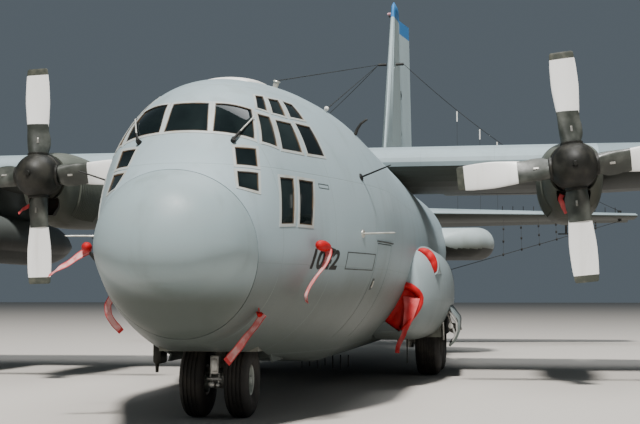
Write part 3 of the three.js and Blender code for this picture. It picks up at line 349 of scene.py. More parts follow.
def aircraft_paint(name, colour=(0.28, 0.352, 0.378), roughness=0.48, seam_axes=(), wear_and_shade=1.0,
                   low=0.3, high=1.9, cloudy=0.25):
    """Satin grey paint, chalked by the sun and streaked with wear, and darkened from the height high down to
    low as painted shade.
    """
    finish = Finish(name, colour, roughness, {"Specular IOR Level": 0.26})
    cloud = finish.noise(0.9, 5)
    streak = finish.noise(1.0, 6, (7.0, 7.0, 0.6))
    grain = finish.noise(55, 3)
    chalk = tuple(min(1, c * 1.09 + 0.012) for c in colour)
    worn = tuple(c * k for c, k in zip(colour, (0.70, 0.67, 0.60)))
    # Painted shade: the next tone, a dark brown, is mixed in lower down for the shade that falls under the
    # plane.
    painted_shade_tone = tuple(c * k for c, k in zip(colour, (0.19, 0.17, 0.125)))
    shade = finish.mix(finish.ramp(cloud, 0.35, 0.68) * 0.55, colour, chalk)
    shade = finish.mix(finish.ramp(streak, 0.50, 0.74) * 0.30 * wear_and_shade, shade, worn)
    # Painted shade below: its share grows from the height high down to low, with a wavy edge.
    level = finish.z + (cloud - 0.5) * cloudy
    belly = (1 - finish.ramp(level, low, high)) * 0.86 * wear_and_shade
    shade = finish.mix(belly, shade, painted_shade_tone)
    lines = None
    for axis, spacing, offset, width in seam_axes:
        line = seams(finish, getattr(finish, axis), spacing, offset, width)
        lines = line if lines is None else line.math("MAXIMUM", lines, line)
    height = grain * 0.12 + finish.noise(3.2, 3) * 0.9
    if lines is not None:
        shade = finish.mix(lines * 0.30, shade, worn)
        height = height - lines
    finish.shade = shade
    finish.set("Base Color", shade)
    finish.set("Roughness", roughness + (grain - 0.5) * 0.12 + (cloud - 0.5) * 0.16)
    finish.bump(height, 0.25, 0.004)
    return finish


def dress(piece, finish, body, slot, *nodes):
    """Gives a finished piece its material, the body it rides on and the CAD nodes it stands for."""
    piece.data.materials.clear()
    piece.data.materials.append(finish.material)
    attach(piece, body)
    if nodes:
        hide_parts(*nodes)
    return piece


RADOME_JOINT, RADOME_JOINT_LEAN = (0, 1.13, 1.12), math.radians(14)
JOINT_GAP = 0.003
joint_normal = Vector((0, math.cos(RADOME_JOINT_LEAN), math.sin(RADOME_JOINT_LEAN)))
radome = hull_skin("radome_skin", 0.0, 1.7, 46, crowded=1.6)
bisect(radome, at(*RADOME_JOINT) - joint_normal * JOINT_GAP, joint_normal)
walled(radome, 0.10)
# The radome's chin, below its ball, is darkened as painted shade by this paint's low and high heights.
radome_paint = aircraft_paint("radome_paint", (0.245, 0.31, 0.325), 0.42, low=0.76, high=0.99, cloudy=0.10)
dress(smooth(radome), radome_paint, "airframe", "radome", "radome")

# Forward fuselage: aluminium skin on frames and stringers, riveted and painted, from the radome to the hold.
# The windows, the crew doorway and the nose wheel bay are cut through it.
# The hull's lower sides are darkened as painted shade, from the height high down to low.
hull_paint = aircraft_paint(
    "hull_paint", seam_axes=(("y", 0.62, 0.1, 0.0045), ("z", 0.58, 0.42, 0.0045)),
    low=0.80, high=1.12, cloudy=0.14,
)
# Each pane: four corners (x, station, z) on the port side, lower edge first
CENTRE_PANE = ((0.28, 1.26, 3.59), (-0.28, 1.26, 3.59), (-0.23, 1.52, 3.98), (0.23, 1.52, 3.98))
PORT_PANES = (
    ((0.33, 1.27, 3.59), (0.81, 1.46, 3.50), (0.69, 1.81, 3.93), (0.29, 1.54, 3.98)),
    ((0.88, 1.51, 3.48), (1.03, 1.75, 3.44), (0.88, 2.01, 3.87), (0.75, 1.82, 3.88)),
    ((1.08, 1.82, 3.43), (1.26, 2.26, 3.43), (1.08, 2.39, 3.84), (0.93, 2.07, 3.84)),
    ((1.30, 2.38, 3.43), (1.45, 2.80, 3.44), (1.24, 2.87, 3.86), (1.11, 2.50, 3.86)),
    ((0.73, 1.93, 3.97), (0.83, 2.07, 3.94), (0.71, 2.38, 4.19), (0.63, 2.22, 4.18)),
    ((0.88, 2.14, 3.93), (1.01, 2.39, 3.92), (0.85, 2.68, 4.19), (0.76, 2.42, 4.18)),
    ((1.05, 2.50, 3.93), (1.17, 2.86, 3.94), (0.98, 2.98, 4.18), (0.88, 2.77, 4.19)),
    ((0.67, 1.09, 3.16), (0.89, 1.30, 3.15), (0.84, 1.41, 3.39), (0.61, 1.24, 3.40)),
    ((0.75, 0.87, 2.88), (0.94, 1.14, 2.84), (0.90, 1.27, 3.08), (0.69, 1.04, 3.09)),
    ((1.15, 1.41, 2.47), (1.25, 1.70, 2.49), (1.22, 1.85, 3.07), (1.10, 1.55, 3.06)),
    ((1.30, 1.81, 2.49), (1.41, 2.12, 2.49), (1.39, 2.29, 3.07), (1.26, 1.95, 3.07)),
)
DECK_MIDDLE = (0, 2.4, 2.6)
CUTTER_OUT, CUTTER_IN = 0.09, 0.22
PANES = [CENTRE_PANE] + [
    tuple((x * side, station, z) for x, station, z in pane) for pane in PORT_PANES for side in (1, -1)
]


def raised_outline(name, corners, start, end):
    """A solid with that outline, from start to end, both vectors added to every corner."""
    bpy.ops.mesh.primitive_circle_add(vertices=len(corners), fill_type="NGON")
    piece = bpy.context.object
    piece.name = piece.data.name = name
    for vertex, corner in zip(piece.data.vertices, corners):
        vertex.co = corner + start
    bpy.ops.object.mode_set(mode="EDIT")
    bpy.ops.mesh.select_all(action="SELECT")
    bpy.ops.mesh.extrude_region_move(TRANSFORM_OT_translate={"value": end - start})
    bpy.ops.mesh.select_all(action="SELECT")
    bpy.ops.mesh.normals_make_consistent(inside=False)
    bpy.ops.object.mode_set(mode="OBJECT")
    piece.data.transform(piece.matrix_world)
    piece.matrix_world = Matrix.Identity(4)
    return piece


def pane_cutter(corners, grow):
    """A prism through the skin under a pane, its outline moved outwards by grow (real metres)."""
    points = [at(*corner) for corner in corners]
    centre = sum(points, Vector()) / 4
    normal = (points[1] - points[0]).cross(points[3] - points[0]).normalized()
    if normal.dot(centre - at(*DECK_MIDDLE)) < 0:
        normal.negate()
    edges = [(points[(k + 1) % 4] - points[k]).normalized() for k in range(4)]
    outs = [edge.cross(normal) for edge in edges]
    outs = [out if out.dot(points[k] - centre) > 0 else -out for k, out in enumerate(outs)]
    moved = []
    for k in range(4):
        before, after = outs[k - 1], outs[k]
        corner_move = (before + after) / (1 + before.dot(after))
        moved.append(points[k] + corner_move * grow * MODEL_SCALE)
    return raised_outline("pane_cutter", moved, normal * CUTTER_OUT, normal * -CUTTER_IN)


def joined(pieces, name=None):
    """The pieces as one, which keeps the last one's place in the scene and takes the name if one is given."""
    only(*pieces)
    if len(pieces) > 1:
        bpy.ops.object.join()
    piece = bpy.context.object
    if name:
        piece.name = piece.data.name = name
    return piece


def cut(piece, cutter, operation="DIFFERENCE", crossing=False):
    """Cuts piece by cutter and removes the cutter; crossing says that its parts run into each other."""
    modify(piece, "BOOLEAN", operation=operation, object=cutter, solver="EXACT", use_self=crossing)
    bpy.data.objects.remove(cutter)
    return piece


def copy_of(piece, name):
    made = piece.copy()
    made.data = piece.data.copy()
    made.name = made.data.name = name
    bpy.context.scene.collection.objects.link(made)
    return made


def block(name, low, high):
    """A rectangular block between two corners given in real metres."""
    a, b = at(*low), at(*high)
    bpy.ops.mesh.primitive_cube_add(size=1, location=(a + b) / 2, scale=b - a)
    piece = bpy.context.object
    piece.name = piece.data.name = name
    bpy.ops.object.transform_apply(location=True, rotation=True, scale=True)
    return piece


def side_block(name, side, reaches, stations, heights):
    """A block on one side of the plane, between two distances from its middle."""
    low_x, high_x = sorted(reach * side for reach in reaches)
    return block(name, (low_x, stations[0], heights[0]), (high_x, stations[1], heights[1]))


CREW_DOOR = {"front": 4.03, "rear": 4.80, "sill": 1.03, "head": 2.36}
THROUGH_WALL = (0.9, 2.6)
NOSE_BAY = {"half": 0.66, "front": 2.39, "rear": 3.73}
nose_shell = hull_skin("nose_shell", 0.55, 5.14, 84)
bisect(nose_shell, at(*RADOME_JOINT) + joint_normal * JOINT_GAP, joint_normal, keep_below=False)
walled(nose_shell)
crew_door = copy_of(nose_shell, "crew_door_panel")
cut(nose_shell, joined([pane_cutter(pane, 0.0) for pane in PANES]))
cut(nose_shell, joined([
    side_block("doorway", 1, THROUGH_WALL, (CREW_DOOR["front"], CREW_DOOR["rear"]),
               (CREW_DOOR["sill"], CREW_DOOR["head"])),
    block("nose_bay", (-NOSE_BAY["half"], NOSE_BAY["front"], 0.3),
          (NOSE_BAY["half"], NOSE_BAY["rear"], 1.25)),
]))
nose_shell.name = "forward_skin"
dress(smooth(nose_shell), hull_paint, "airframe", "paint", "forward_fuselage")

# Flight deck windows: laminated glass panes held by clamping frames over brown rubber seals.
# Frames, seals and panes all follow the skin's curve.
def window_layer(name, outset, thickness, outer_grow, inner_grow):
    """A layer on the skin, kept inside each outline grown by outer_grow and cut by it grown by inner_grow."""
    layer = hull_skin(name, 0.75, 3.15, 44, outset=outset)
    bisect(layer, at(0, 0, 2.38), Vector((0, 0, 1)), keep_below=False)
    walled(layer, thickness)
    cut(layer, joined([pane_cutter(pane, outer_grow) for pane in PANES]), "INTERSECT", outer_grow > 0)
    if inner_grow is not None:
        cut(layer, joined([pane_cutter(pane, inner_grow) for pane in PANES]))
    return layer


frame_finish = Finish("window_frame_paint", (0.36, 0.38, 0.36), 0.5)
frame_finish.patches((9, 5), 0.45, 0.7, (0.38, 0.41, 0.40), (0.31, 0.29, 0.235), 0.6)
frame_finish.bump(frame_finish.noise(70, 3), 0.15, 0.002)
dress(
    smooth(window_layer("window_frames", 0.006, 0.05, 0.030, -0.004), 40),
    frame_finish, "airframe", "paint",
)
seal_finish = Finish("window_seal_rubber", (0.075, 0.05, 0.03), 0.75)
seal_finish.patches((14, 4), 0.4, 0.65, (0.10, 0.065, 0.035), (0.03, 0.026, 0.022))
seal_finish.bump(seal_finish.noise(90, 3), 0.2, 0.001)
dress(
    smooth(window_layer("window_seals", 0.001, 0.05, -0.002, -0.016), 40),
    seal_finish, "airframe", "glass",
)
# The panes are near black, painted shade for the dark flight deck behind them, and their lighter greenish
# patches are painted reflections.
glass_finish = Finish(
    "flight_deck_glass", (0.006, 0.010, 0.011), 0.06,
    {"Transmission Weight": 0.25, "IOR": 1.5, "Specular IOR Level": 0.22},
)
glass_finish.set("Roughness", glass_finish.noise(6, 4) * 0.06 + 0.01)
glass_finish.patches((2.5, 5), 0.35, 0.75, (0.006, 0.010, 0.011), (0.020, 0.030, 0.030))
dress(
    smooth(window_layer("window_panes", -0.012, 0.02, -0.010, None), 40),
    glass_finish, "airframe", "glass", "flight_deck_glass",
)

# Crew entrance door: a piece of the skin with its own frame, in riveted aluminium painted as the rest is.
# It is hinged along its sill on the port side and drops outwards to serve as steps.
SILL_GAP, RUNNING_GAP = 0.001, 0.014
cut(crew_door, side_block(
    "crew_door_block", 1, THROUGH_WALL, (CREW_DOOR["front"] + RUNNING_GAP, CREW_DOOR["rear"] - RUNNING_GAP),
    (CREW_DOOR["sill"] + SILL_GAP, CREW_DOOR["head"] - RUNNING_GAP),
), "INTERSECT")
dress(smooth(crew_door), hull_paint, "crew_door", "paint", "crew_door")

# Centre and aft fuselage: the long hollow hold, and the tail that sweeps up behind it over the ramp opening.
# Aluminium skins are riveted to frames and stringers. Two jump doors, the ramp and the cargo door close it.
HOLD_FRONT, HOLD_REAR, RAMP_END, CARGO_DOOR_END = 5.14, 17.64, 20.99, 24.40


def slanted_solid(name, outline, half_width):
    """A solid with a side outline of (station, z) points, right across the plane."""
    return raised_outline(
        name, [at(0, s, z) for s, z in outline],
        Vector((-half_width * MODEL_SCALE, 0, 0)), Vector((half_width * MODEL_SCALE, 0, 0)),
    )


SIDES = ((1, "port"), (-1, "starboard"))
# Each opening: stations, then heights
JUMP_OPENING = ((16.24, 17.15), (1.04, 2.86))
JUMP_PANEL = tuple((low + 0.005, high - 0.005) for low, high in JUMP_OPENING)
WELL_OPENING = ((11.089, 14.531), (0.69, 2.361))
hold_shell = hull_skin("centre_skin", HOLD_FRONT + 0.003, HOLD_REAR, 24)
walled(hold_shell)
jump_source = copy_of(hold_shell, "jump_door_source")
for name, reaches, opening in (("doorway", THROUGH_WALL, JUMP_OPENING), ("well", (1.499, 2.7), WELL_OPENING)):
    cut(hold_shell, joined([side_block(name, side, reaches, *opening) for side, _ in SIDES]))
dress(smooth(hold_shell), hull_paint, "airframe", "paint", "centre_fuselage")
for side, label in SIDES:
    door = copy_of(jump_source, f"jump_door_panel_{label}")
    cut(door, side_block("jump_block", side, THROUGH_WALL, *JUMP_PANEL), "INTERSECT")
    dress(smooth(door), hull_paint, "airframe", "paint", f"jump_door_{label}")
bpy.data.objects.remove(jump_source)

tail_shell = hull_skin("aft_skin", HOLD_REAR + 0.001, 28.2, 60, crowded=0.9)
walled(tail_shell)
door_source = copy_of(tail_shell, "cargo_door_skin")
RAMP_HALF, DOOR_END_HALF, OVERLAP = 1.56, 0.9, 0.05


def opening_column(name, gap=0.0):
    """A solid with the rear opening's plan, less a gap at each side, from below the belly to the ceiling."""
    half = [
        (RAMP_HALF - gap, HOLD_REAR - OVERLAP), (RAMP_HALF - gap, RAMP_END),
        (DOOR_END_HALF - gap, CARGO_DOOR_END),
    ]
    outline = half + [(-x, station) for x, station in reversed(half)]
    return raised_outline(
        name, [at(x, station, 0) for x, station in outline],
        Vector((0, 0, 0.2 * MODEL_SCALE)), Vector((0, 0, 4.2 * MODEL_SCALE)),
    )


opening = opening_column("opening_plan")
cut(opening, slanted_solid("opening_side", (
    (HOLD_REAR - OVERLAP, 0.3), (CARGO_DOOR_END + 0.01, 0.3), (CARGO_DOOR_END + 0.01, 3.9),
    (RAMP_END, 2.75), (HOLD_REAR - OVERLAP, 2.1),
), 2.0), "INTERSECT")
cut(tail_shell, opening)
dress(smooth(tail_shell), hull_paint, "airframe", "paint", "aft_fuselage")
RAMP_JOINT_LEAN = math.radians(30)


def ramp_joint(z):
    """The station where the door's sloping front edge starts at a height, clear of the ramp."""
    return RAMP_END - (z - 1.70) * math.tan(RAMP_JOINT_LEAN) + RUNNING_GAP / math.cos(RAMP_JOINT_LEAN)


cut(door_source, opening_column("door_plan", RUNNING_GAP), "INTERSECT")
cut(door_source, slanted_solid("door_side", (
    (ramp_joint(0.9), 0.9), (CARGO_DOOR_END - RUNNING_GAP, 0.9),
    (CARGO_DOOR_END - RUNNING_GAP, 3.9), (ramp_joint(2.7), 2.7),
), 2.0), "INTERSECT")
dress(smooth(door_source), hull_paint, "aft_cargo_door", "paint", "aft_cargo_door")


def merged_copy(node, name):
    """A CAD node's own form as a new piece, with its loose triangles joined and its skin shaded smooth."""
    piece = copy_of(frame["nodes"][node], name)
    piece.parent = None
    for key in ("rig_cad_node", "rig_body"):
        if key in piece:
            del piece[key]
    only(piece)
    bpy.ops.object.mode_set(mode="EDIT")
    bpy.ops.mesh.select_all(action="SELECT")
    bpy.ops.mesh.remove_doubles(threshold=2 * WELD)
    bpy.ops.object.mode_set(mode="OBJECT")
    return smooth(piece)


dress(merged_copy("cargo_ramp", "ramp_panel"), hull_paint, "cargo_ramp", "paint", "cargo_ramp")

# Wing and tail surfaces: aluminium skins riveted to spars and ribs, pale above and painted dark below as
# shade.
# Ailerons, flaps, elevators and the rudder hang on hinges behind them. Fin and rudder have a blue cap.
WING_SEAMS = (("x", 0.74, 0.3, 0.004), ("y", 0.53, 0.2, 0.004))
# The wing's paint also darkens below its low and high heights, painted shade under the wing.
wing_paint = aircraft_paint("wing_paint", seam_axes=WING_SEAMS, wear_and_shade=0.7, low=1.95, high=2.25)
# Painted shade: a near-black paint for faces that look down, on the wings, tail, blisters and tanks.
underside_shade_paint = aircraft_paint(
    "painted_shade_underside", (0.045, 0.050, 0.043), 0.55, WING_SEAMS, wear_and_shade=0.8, low=1.4, high=1.6
)


def shade_painted_below(piece, steepness=-0.25):
    """Gives the faces that look down the dark paint, painted shade for the undersides."""
    piece.data.materials.append(underside_shade_paint.material)
    for polygon in piece.data.polygons:
        polygon.material_index = 1 if polygon.normal.z < steepness else 0
    return piece


shade_painted_below(dress(
    merged_copy("centre_wing", "centre_wing_skin"), wing_paint, "airframe", "paint", "centre_wing"
))
for label in ("port", "starboard"):
    shade_painted_below(dress(
        merged_copy(f"outer_wing_{label}", f"outer_wing_skin_{label}"), wing_paint, "airframe", "paint",
        f"outer_wing_{label}",
    ))
    for kind in ("aileron", "inner_flap", "outer_flap"):
        shade_painted_below(dress(
            merged_copy(f"{kind}_{label}", f"{kind}_skin_{label}"), wing_paint, f"{kind}_{label}", "paint",
            f"{kind}_{label}",
        ))
tail_paint = aircraft_paint(
    "tail_paint", seam_axes=(("z", 0.62, 0.2, 0.004), ("x", 0.7, 0.3, 0.004)), wear_and_shade=0.5, low=1.9, high=2.4
)
CAP_BLUE = (0.045, 0.19, 0.44)


def capped_paint(name, height):
    """The tail's paint with a blue cap above a height, worn at its edge."""
    finish = aircraft_paint(
        name, (0.38, 0.465, 0.48), seam_axes=(("z", 0.62, 0.2, 0.004), ("y", 0.7, 0.3, 0.004)), wear_and_shade=0.5,
        low=1.9, high=2.4,
    )
    wavy = finish.z + (finish.noise(9, 4) - 0.5) * 0.03
    finish.set("Base Color", finish.mix(wavy > height * MODEL_SCALE, finish.shade, CAP_BLUE))
    return finish


for node, body, finish in (
    ("stabiliser", "airframe", tail_paint), ("fin", "airframe", capped_paint("fin_paint", 11.03)),
    ("rudder", "rudder", capped_paint("rudder_paint", 10.70)),
    ("elevator_port", "elevator_port", tail_paint), ("elevator_starboard", "elevator_starboard", tail_paint),
):
    surface = dress(merged_copy(node, f"{node}_skin"), finish, body, "paint", node)
    if finish is tail_paint:
        shade_painted_below(surface, -0.12)

# Nacelles: an aluminium cowl round each engine, with the oil cooler's mouth in its chin, cooling louvres on
# the side that faces the hull, and the jet pipe at its tail. Dark foam plugs close the mouths on the ground.
# Each row: station, half width, depth below the axis, height above it
NACELLE_ROWS = np.array([
    (8.86, 0.44, 0.47, 0.43), (9.15, 0.53, 0.82, 0.50), (9.9, 0.59, 0.93, 0.56), (11.3, 0.60, 0.88, 0.47),
    (12.9, 0.52, 0.66, 0.20), (14.15, 0.33, 0.33, 0.06),
])
NACELLE_FRONT, NACELLE_LENGTH = 8.86, 5.29
LOUVRE_COUNT, FIRST_LOUVRE, LOUVRE_SPACING = 15, 9.35, 0.075
ENGINES = {
    f"{column}_{label}": (x * side, z, side)
    for column, x, z in (("inner", 4.98, 3.90), ("outer", 9.97, 3.92))
    for label, side in (("port", 1), ("starboard", -1))
}


def nacelle_points(engine, stations, angles, outset=0.0):
    """Points of a nacelle's skin, moved out by outset (real metres)."""
    x, z, _ = ENGINES[engine]
    half, below, above = (smooth_table(NACELLE_ROWS, stations, 1) + outset).T
    c, s = np.cos(angles), np.sin(angles)
    across = x + half * np.sign(c) * np.abs(c) ** 0.85
    up = z + np.where(s >= 0, above, below) * np.sign(s) * np.abs(s) ** 0.85
    return places_at(across, stations, up)


def basis(direction):
    """Two unit vectors across a direction, and the direction itself."""
    ahead = Vector(direction).normalized()
    first = ahead.orthogonal().normalized()
    return first, ahead.cross(first), ahead


def turned(name, profile, centre, direction, columns=40):
    """A turned body: its profile of (radius, distance along) pairs goes round a line from centre."""
    first, second, ahead = (np.array(axis) for axis in basis(direction))
    pairs = np.array(profile) * MODEL_SCALE

    def surface(u, v):
        radius, along = pairs[np.rint(v * (len(pairs) - 1)).astype(int)].T
        a, b = radius * np.cos(u * 2 * math.pi), radius * np.sin(u * 2 * math.pi)
        return np.array(centre) + np.outer(along, ahead) + np.outer(a, first) + np.outer(b, second)
    return draped_grid(name, columns, len(pairs) - 1, surface)


def rod(name, places, radius, columns=10):
    """A round bar through places of the model's frame, closed at its ends; radius in real metres."""
    radii = list(radius) if hasattr(radius, "__len__") else [radius] * len(places)
    first = basis(places[1] - places[0])[0]
    rings = []
    for k, place in enumerate(places):
        ahead = (places[min(k + 1, len(places) - 1)] - places[max(k - 1, 0)]).normalized()
        first = (first - ahead * first.dot(ahead)).normalized()
        rings.append((place, first, ahead.cross(first), radii[k] * MODEL_SCALE))
    rings = [(*rings[0][:3], 0)] + rings + [(*rings[-1][:3], 0)]
    centres, firsts, seconds, sizes = (np.array([ring[k] for ring in rings]) for k in range(4))

    def surface(u, v):
        row = np.rint(v * (len(rings) - 1)).astype(int)
        a, b = sizes[row] * np.cos(u * 2 * math.pi), sizes[row] * np.sin(u * 2 * math.pi)
        return centres[row] + firsts[row] * a[:, None] + seconds[row] * b[:, None]
    return draped_grid(name, columns, len(rings) - 1, surface)


cowl_paint = aircraft_paint(
    "cowl_paint", (0.115, 0.125, 0.105), 0.5, seam_axes=(("y", 0.47, 0.1, 0.004), ("z", 0.21, 0.05, 0.004)),
    wear_and_shade=1.0, low=1.4, high=2.2,
)
duct_finish = Finish("duct_metal", (0.05, 0.048, 0.04), 0.55, {"Metallic": 0.3})
duct_finish.patches((8, 4), 0.35, 0.7, (0.055, 0.052, 0.044), (0.018, 0.016, 0.014))
duct_finish.bump(duct_finish.noise(30, 3), 0.15, 0.003)
foam_finish = Finish("plug_foam", (0.020, 0.016, 0.013), 0.85)
foam_finish.patches((10, 5), 0.4, 0.7, (0.018, 0.015, 0.012), (0.05, 0.022, 0.018))
foam_finish.bump(foam_finish.noise(60, 3), 0.4, 0.003)
# Half of the mouth's outline below the spinner: distance from the middle, height below the propeller's axis
MOUTH = ((0.30, -0.40), (0.27, -0.58), (0.16, -0.74))
# Stations: the front of the mouth's cut, then the ends of its duct and of its plug
MOUTH_CUT, DUCT_FRONT, DUCT_REAR, PLUG_FRONT, PLUG_REAR = 8.6, 8.90, 9.9, 9.20, 9.38
DUCT_MARGIN = 0.012


def along_plane(front, rear):
    """The two vectors that carry an outline at station 0 to two other stations."""
    return tuple(Vector((0, station * MODEL_SCALE, 0)) for station in (front, rear))


def mouth_prism(name, engine, front, rear, shrink=0.0):
    """A solid as wide as the cooler's mouth, less shrink (real metres), between two stations."""
    x, z, _ = ENGINES[engine]
    half = [(across - shrink, up - shrink * 0.4 * (k - 1)) for k, (across, up) in enumerate(MOUTH)]
    outline = half + [(-across, up) for across, up in reversed(half)]
    corners = [at(x + across, 0, z + up) for across, up in outline]
    return raised_outline(name, corners, *along_plane(front, rear))


for engine, (x, z, side) in ENGINES.items():
    def cowl_surface(u, v, engine=engine):
        return nacelle_points(engine, NACELLE_FRONT + NACELLE_LENGTH * v ** 1.3, u * 2 * math.pi)

    cowl = draped_grid(f"cowl_{engine}", 64, 44, cowl_surface)
    walled(cowl, 0.04)
    cut(cowl, mouth_prism("mouth", engine, MOUTH_CUT, 9.7))
    dress(smooth(cowl), cowl_paint, "airframe", "paint", f"nacelle_{engine}")

    duct = mouth_prism(f"chin_duct_{engine}", engine, DUCT_FRONT, DUCT_REAR, -DUCT_MARGIN)
    bisect(duct, at(0, DUCT_FRONT + 0.005, 0), Vector((0, 1, 0)), keep_below=False)
    face = turned(f"cowl_face_{engine}", ((0.20, 0), (0.415, 0), (0.43, 0.02), (0.43, 0.10)),
                  at(x, 8.875, z), (0, 1, 0), 40)
    cut(face, mouth_prism("mouth", engine, MOUTH_CUT, PLUG_FRONT))
    inner = joined([duct, face], f"chin_duct_{engine}")
    dress(smooth(inner), duct_finish, "airframe", "engine")

    plug = mouth_prism(f"intake_plug_{engine}", engine, PLUG_FRONT, PLUG_REAR, DUCT_MARGIN)
    modify(plug, "BEVEL", width=0.018, segments=3)
    dress(smooth(plug, 40), foam_finish, "airframe", "paint")

    louvres = []
    for k in range(LOUVRE_COUNT):
        station = FIRST_LOUVRE + LOUVRE_SPACING * k

        def louvre_surface(u, v, engine=engine, station=station, side=side):
            angles = np.radians(-52 + 74 * v)
            angles = math.pi - angles if side > 0 else angles
            lift = 0.004 + 0.028 * np.sin(u * math.pi * 0.9)
            return nacelle_points(engine, station + 0.05 * u, angles, lift[:, None])
        louvres.append(draped_grid("louvre", 4, 10, louvre_surface))
    louvres = joined(louvres, f"cowl_louvres_{engine}")
    dress(smooth(louvres, 50), cowl_paint, "airframe", "paint")

    pipe = turned(f"jet_pipe_{engine}", (
        (0.0, 0.0), (0.16, 0.0), (0.17, 0.42), (0.185, 0.42), (0.195, 0.40), (0.185, -0.02),
    ), at(x, 13.85, z - 0.14), (0, 1, -0.06), 36)
    dress(smooth(pipe), duct_finish, "airframe", "engine")

    mast_end = at(x, 11.95, z - 1.02)
    mast = joined([
        rod("mast", [at(x, 11.9, z - 0.80), mast_end], 0.022),
        rod("mast", [mast_end - Vector((0.08, 0, 0)), mast_end + Vector((0.08, 0, 0))], 0.012),
    ], f"drain_mast_{engine}")
    dress(smooth(mast), duct_finish, "airframe", "engine")

    for slot in frame["nodes"][f"engine_{engine}"].material_slots:
        slot.material = duct_finish.material

# Propellers: four solid aluminium blades each, painted white with dark tips, in moulded grey cuffs.
# They are clamped in a hub under a round spinner, which has a small screwed cap at its tip.
# Each row: radius from the hub's middle, chord, thickness, pitch in degrees, how far the rear edge stands out
BLADE_ROWS = np.array([
    (0.93, 0.405, 0.090, 12.0, 0), (1.15, 0.440, 0.070, 7.0, 0), (1.45, 0.478, 0.052, 2.0, 0),
    (1.75, 0.465, 0.040, -1.5, 0), (1.95, 0.432, 0.031, -3.5, 0), (2.03, 0.415, 0.027, -4.0, 0),
    (2.055, 0.365, 0.018, -4.0, 0),
])
CUFF_ROWS = np.array([
    (0.30, 0.34, 0.26, 21.0, 0), (0.42, 0.37, 0.245, 20.0, 0.005), (0.58, 0.40, 0.19, 18.5, 0.034),
    (0.72, 0.41, 0.145, 17.0, 0.026), (0.86, 0.405, 0.115, 14.5, 0.002), (0.985, 0.42, 0.108, 12.0, 0),
])
BLADE_TURN = {"inner_port": 5.5, "inner_starboard": 1.6, "outer_port": 22, "outer_starboard": 38}
PROPELLER_STATION = 8.62
BLADE_COLUMNS = 32
BLADE_ROOT, TIP_BAND, BLADE_TIP = 0.93, 1.93, 2.055
CUFF_ROOT, CUFF_END = 0.30, 0.985
PLATE_PITCH = 17.5


def ends_closed(piece):
    """Closes every open end of a piece, with its faces outwards."""
    only(piece)
    bpy.ops.object.mode_set(mode="EDIT")
    bpy.ops.mesh.select_all(action="SELECT")
    bpy.ops.mesh.fill_holes(sides=0)
    bpy.ops.mesh.normals_make_consistent(inside=False)
    bpy.ops.object.mode_set(mode="OBJECT")
    return piece


def blade_piece(name, rows, low, high, steps, turn, closed=False):
    """An aerofoil lofted along a blade's axis between two radii, turned about the propeller's shaft."""
    turn = math.radians(turn)

    def surface(u, v):
        reach = low + (high - low) * np.clip(v, 0, 1)
        chord, thick, pitch, rear = smooth_table(rows, reach, 1).T
        c, s = np.cos(u * 2 * math.pi), np.sin(u * 2 * math.pi)
        across = c * chord / 2 + np.clip(c, 0, 1) ** 2 * rear
        through = s * thick / 2 * (1 - 0.38 * c)
        pitch = np.radians(pitch)
        flat_x = across * np.cos(pitch) - through * np.sin(pitch)
        flat_y = across * np.sin(pitch) + through * np.cos(pitch)
        x = flat_x * math.cos(turn) + reach * math.sin(turn)
        z = -flat_x * math.sin(turn) + reach * math.cos(turn)
        return np.stack([x, flat_y, z], axis=1) * MODEL_SCALE
    piece = draped_grid(name, BLADE_COLUMNS, steps, surface)
    return ends_closed(piece) if closed else piece


def moved(piece, shift):
    piece.data.transform(Matrix.Translation(shift))
    return piece


blade_white = Finish("blade_white_paint", (0.84, 0.835, 0.81), 0.38)
blade_white.patches((1.4, 5, (9, 9, 1.2)), 0.50, 0.78, (0.86, 0.852, 0.828), (0.62, 0.60, 0.55), 0.45)
blade_white.set("Roughness", blade_white.noise(18, 3) * 0.2 + 0.28)
blade_white.bump(blade_white.noise(40, 3), 0.12, 0.002)
blade_dark = Finish("blade_tip_paint", (0.045, 0.05, 0.036), 0.5)
blade_dark.patches((13, 5), 0.4, 0.72, (0.040, 0.045, 0.034), (0.095, 0.095, 0.072), 0.8)
blade_dark.bump(blade_dark.noise(45, 3), 0.15, 0.002)
cuff_rubber = Finish("blade_cuff_rubber", (0.03, 0.034, 0.028), 0.42)
cuff_rubber.patches((6, 6), 0.38, 0.72, (0.026, 0.030, 0.024), (0.085, 0.090, 0.078))
cuff_rubber.set("Roughness", cuff_rubber.noise(9, 4) * 0.45 + 0.18)
cuff_rubber.bump(cuff_rubber.noise(26, 4), 0.25, 0.004)
spinner_paint = Finish("spinner_paint", (0.010, 0.010, 0.008), 0.34)
spinner_paint.patches((7, 6), 0.40, 0.72, (0.009, 0.009, 0.007), (0.034, 0.032, 0.025))
spinner_paint.set("Roughness", spinner_paint.noise(12, 4) * 0.3 + 0.34)
spinner_paint.set("Specular IOR Level", 0.3)
spinner_paint.bump(spinner_paint.noise(34, 3), 0.15, 0.003)
plate_metal = Finish("bare_plate_metal", (0.55, 0.54, 0.50), 0.4, {"Metallic": 0.6})
plate_metal.patches((30, 3), 0.4, 0.7, (0.40, 0.39, 0.36), (0.24, 0.23, 0.20))

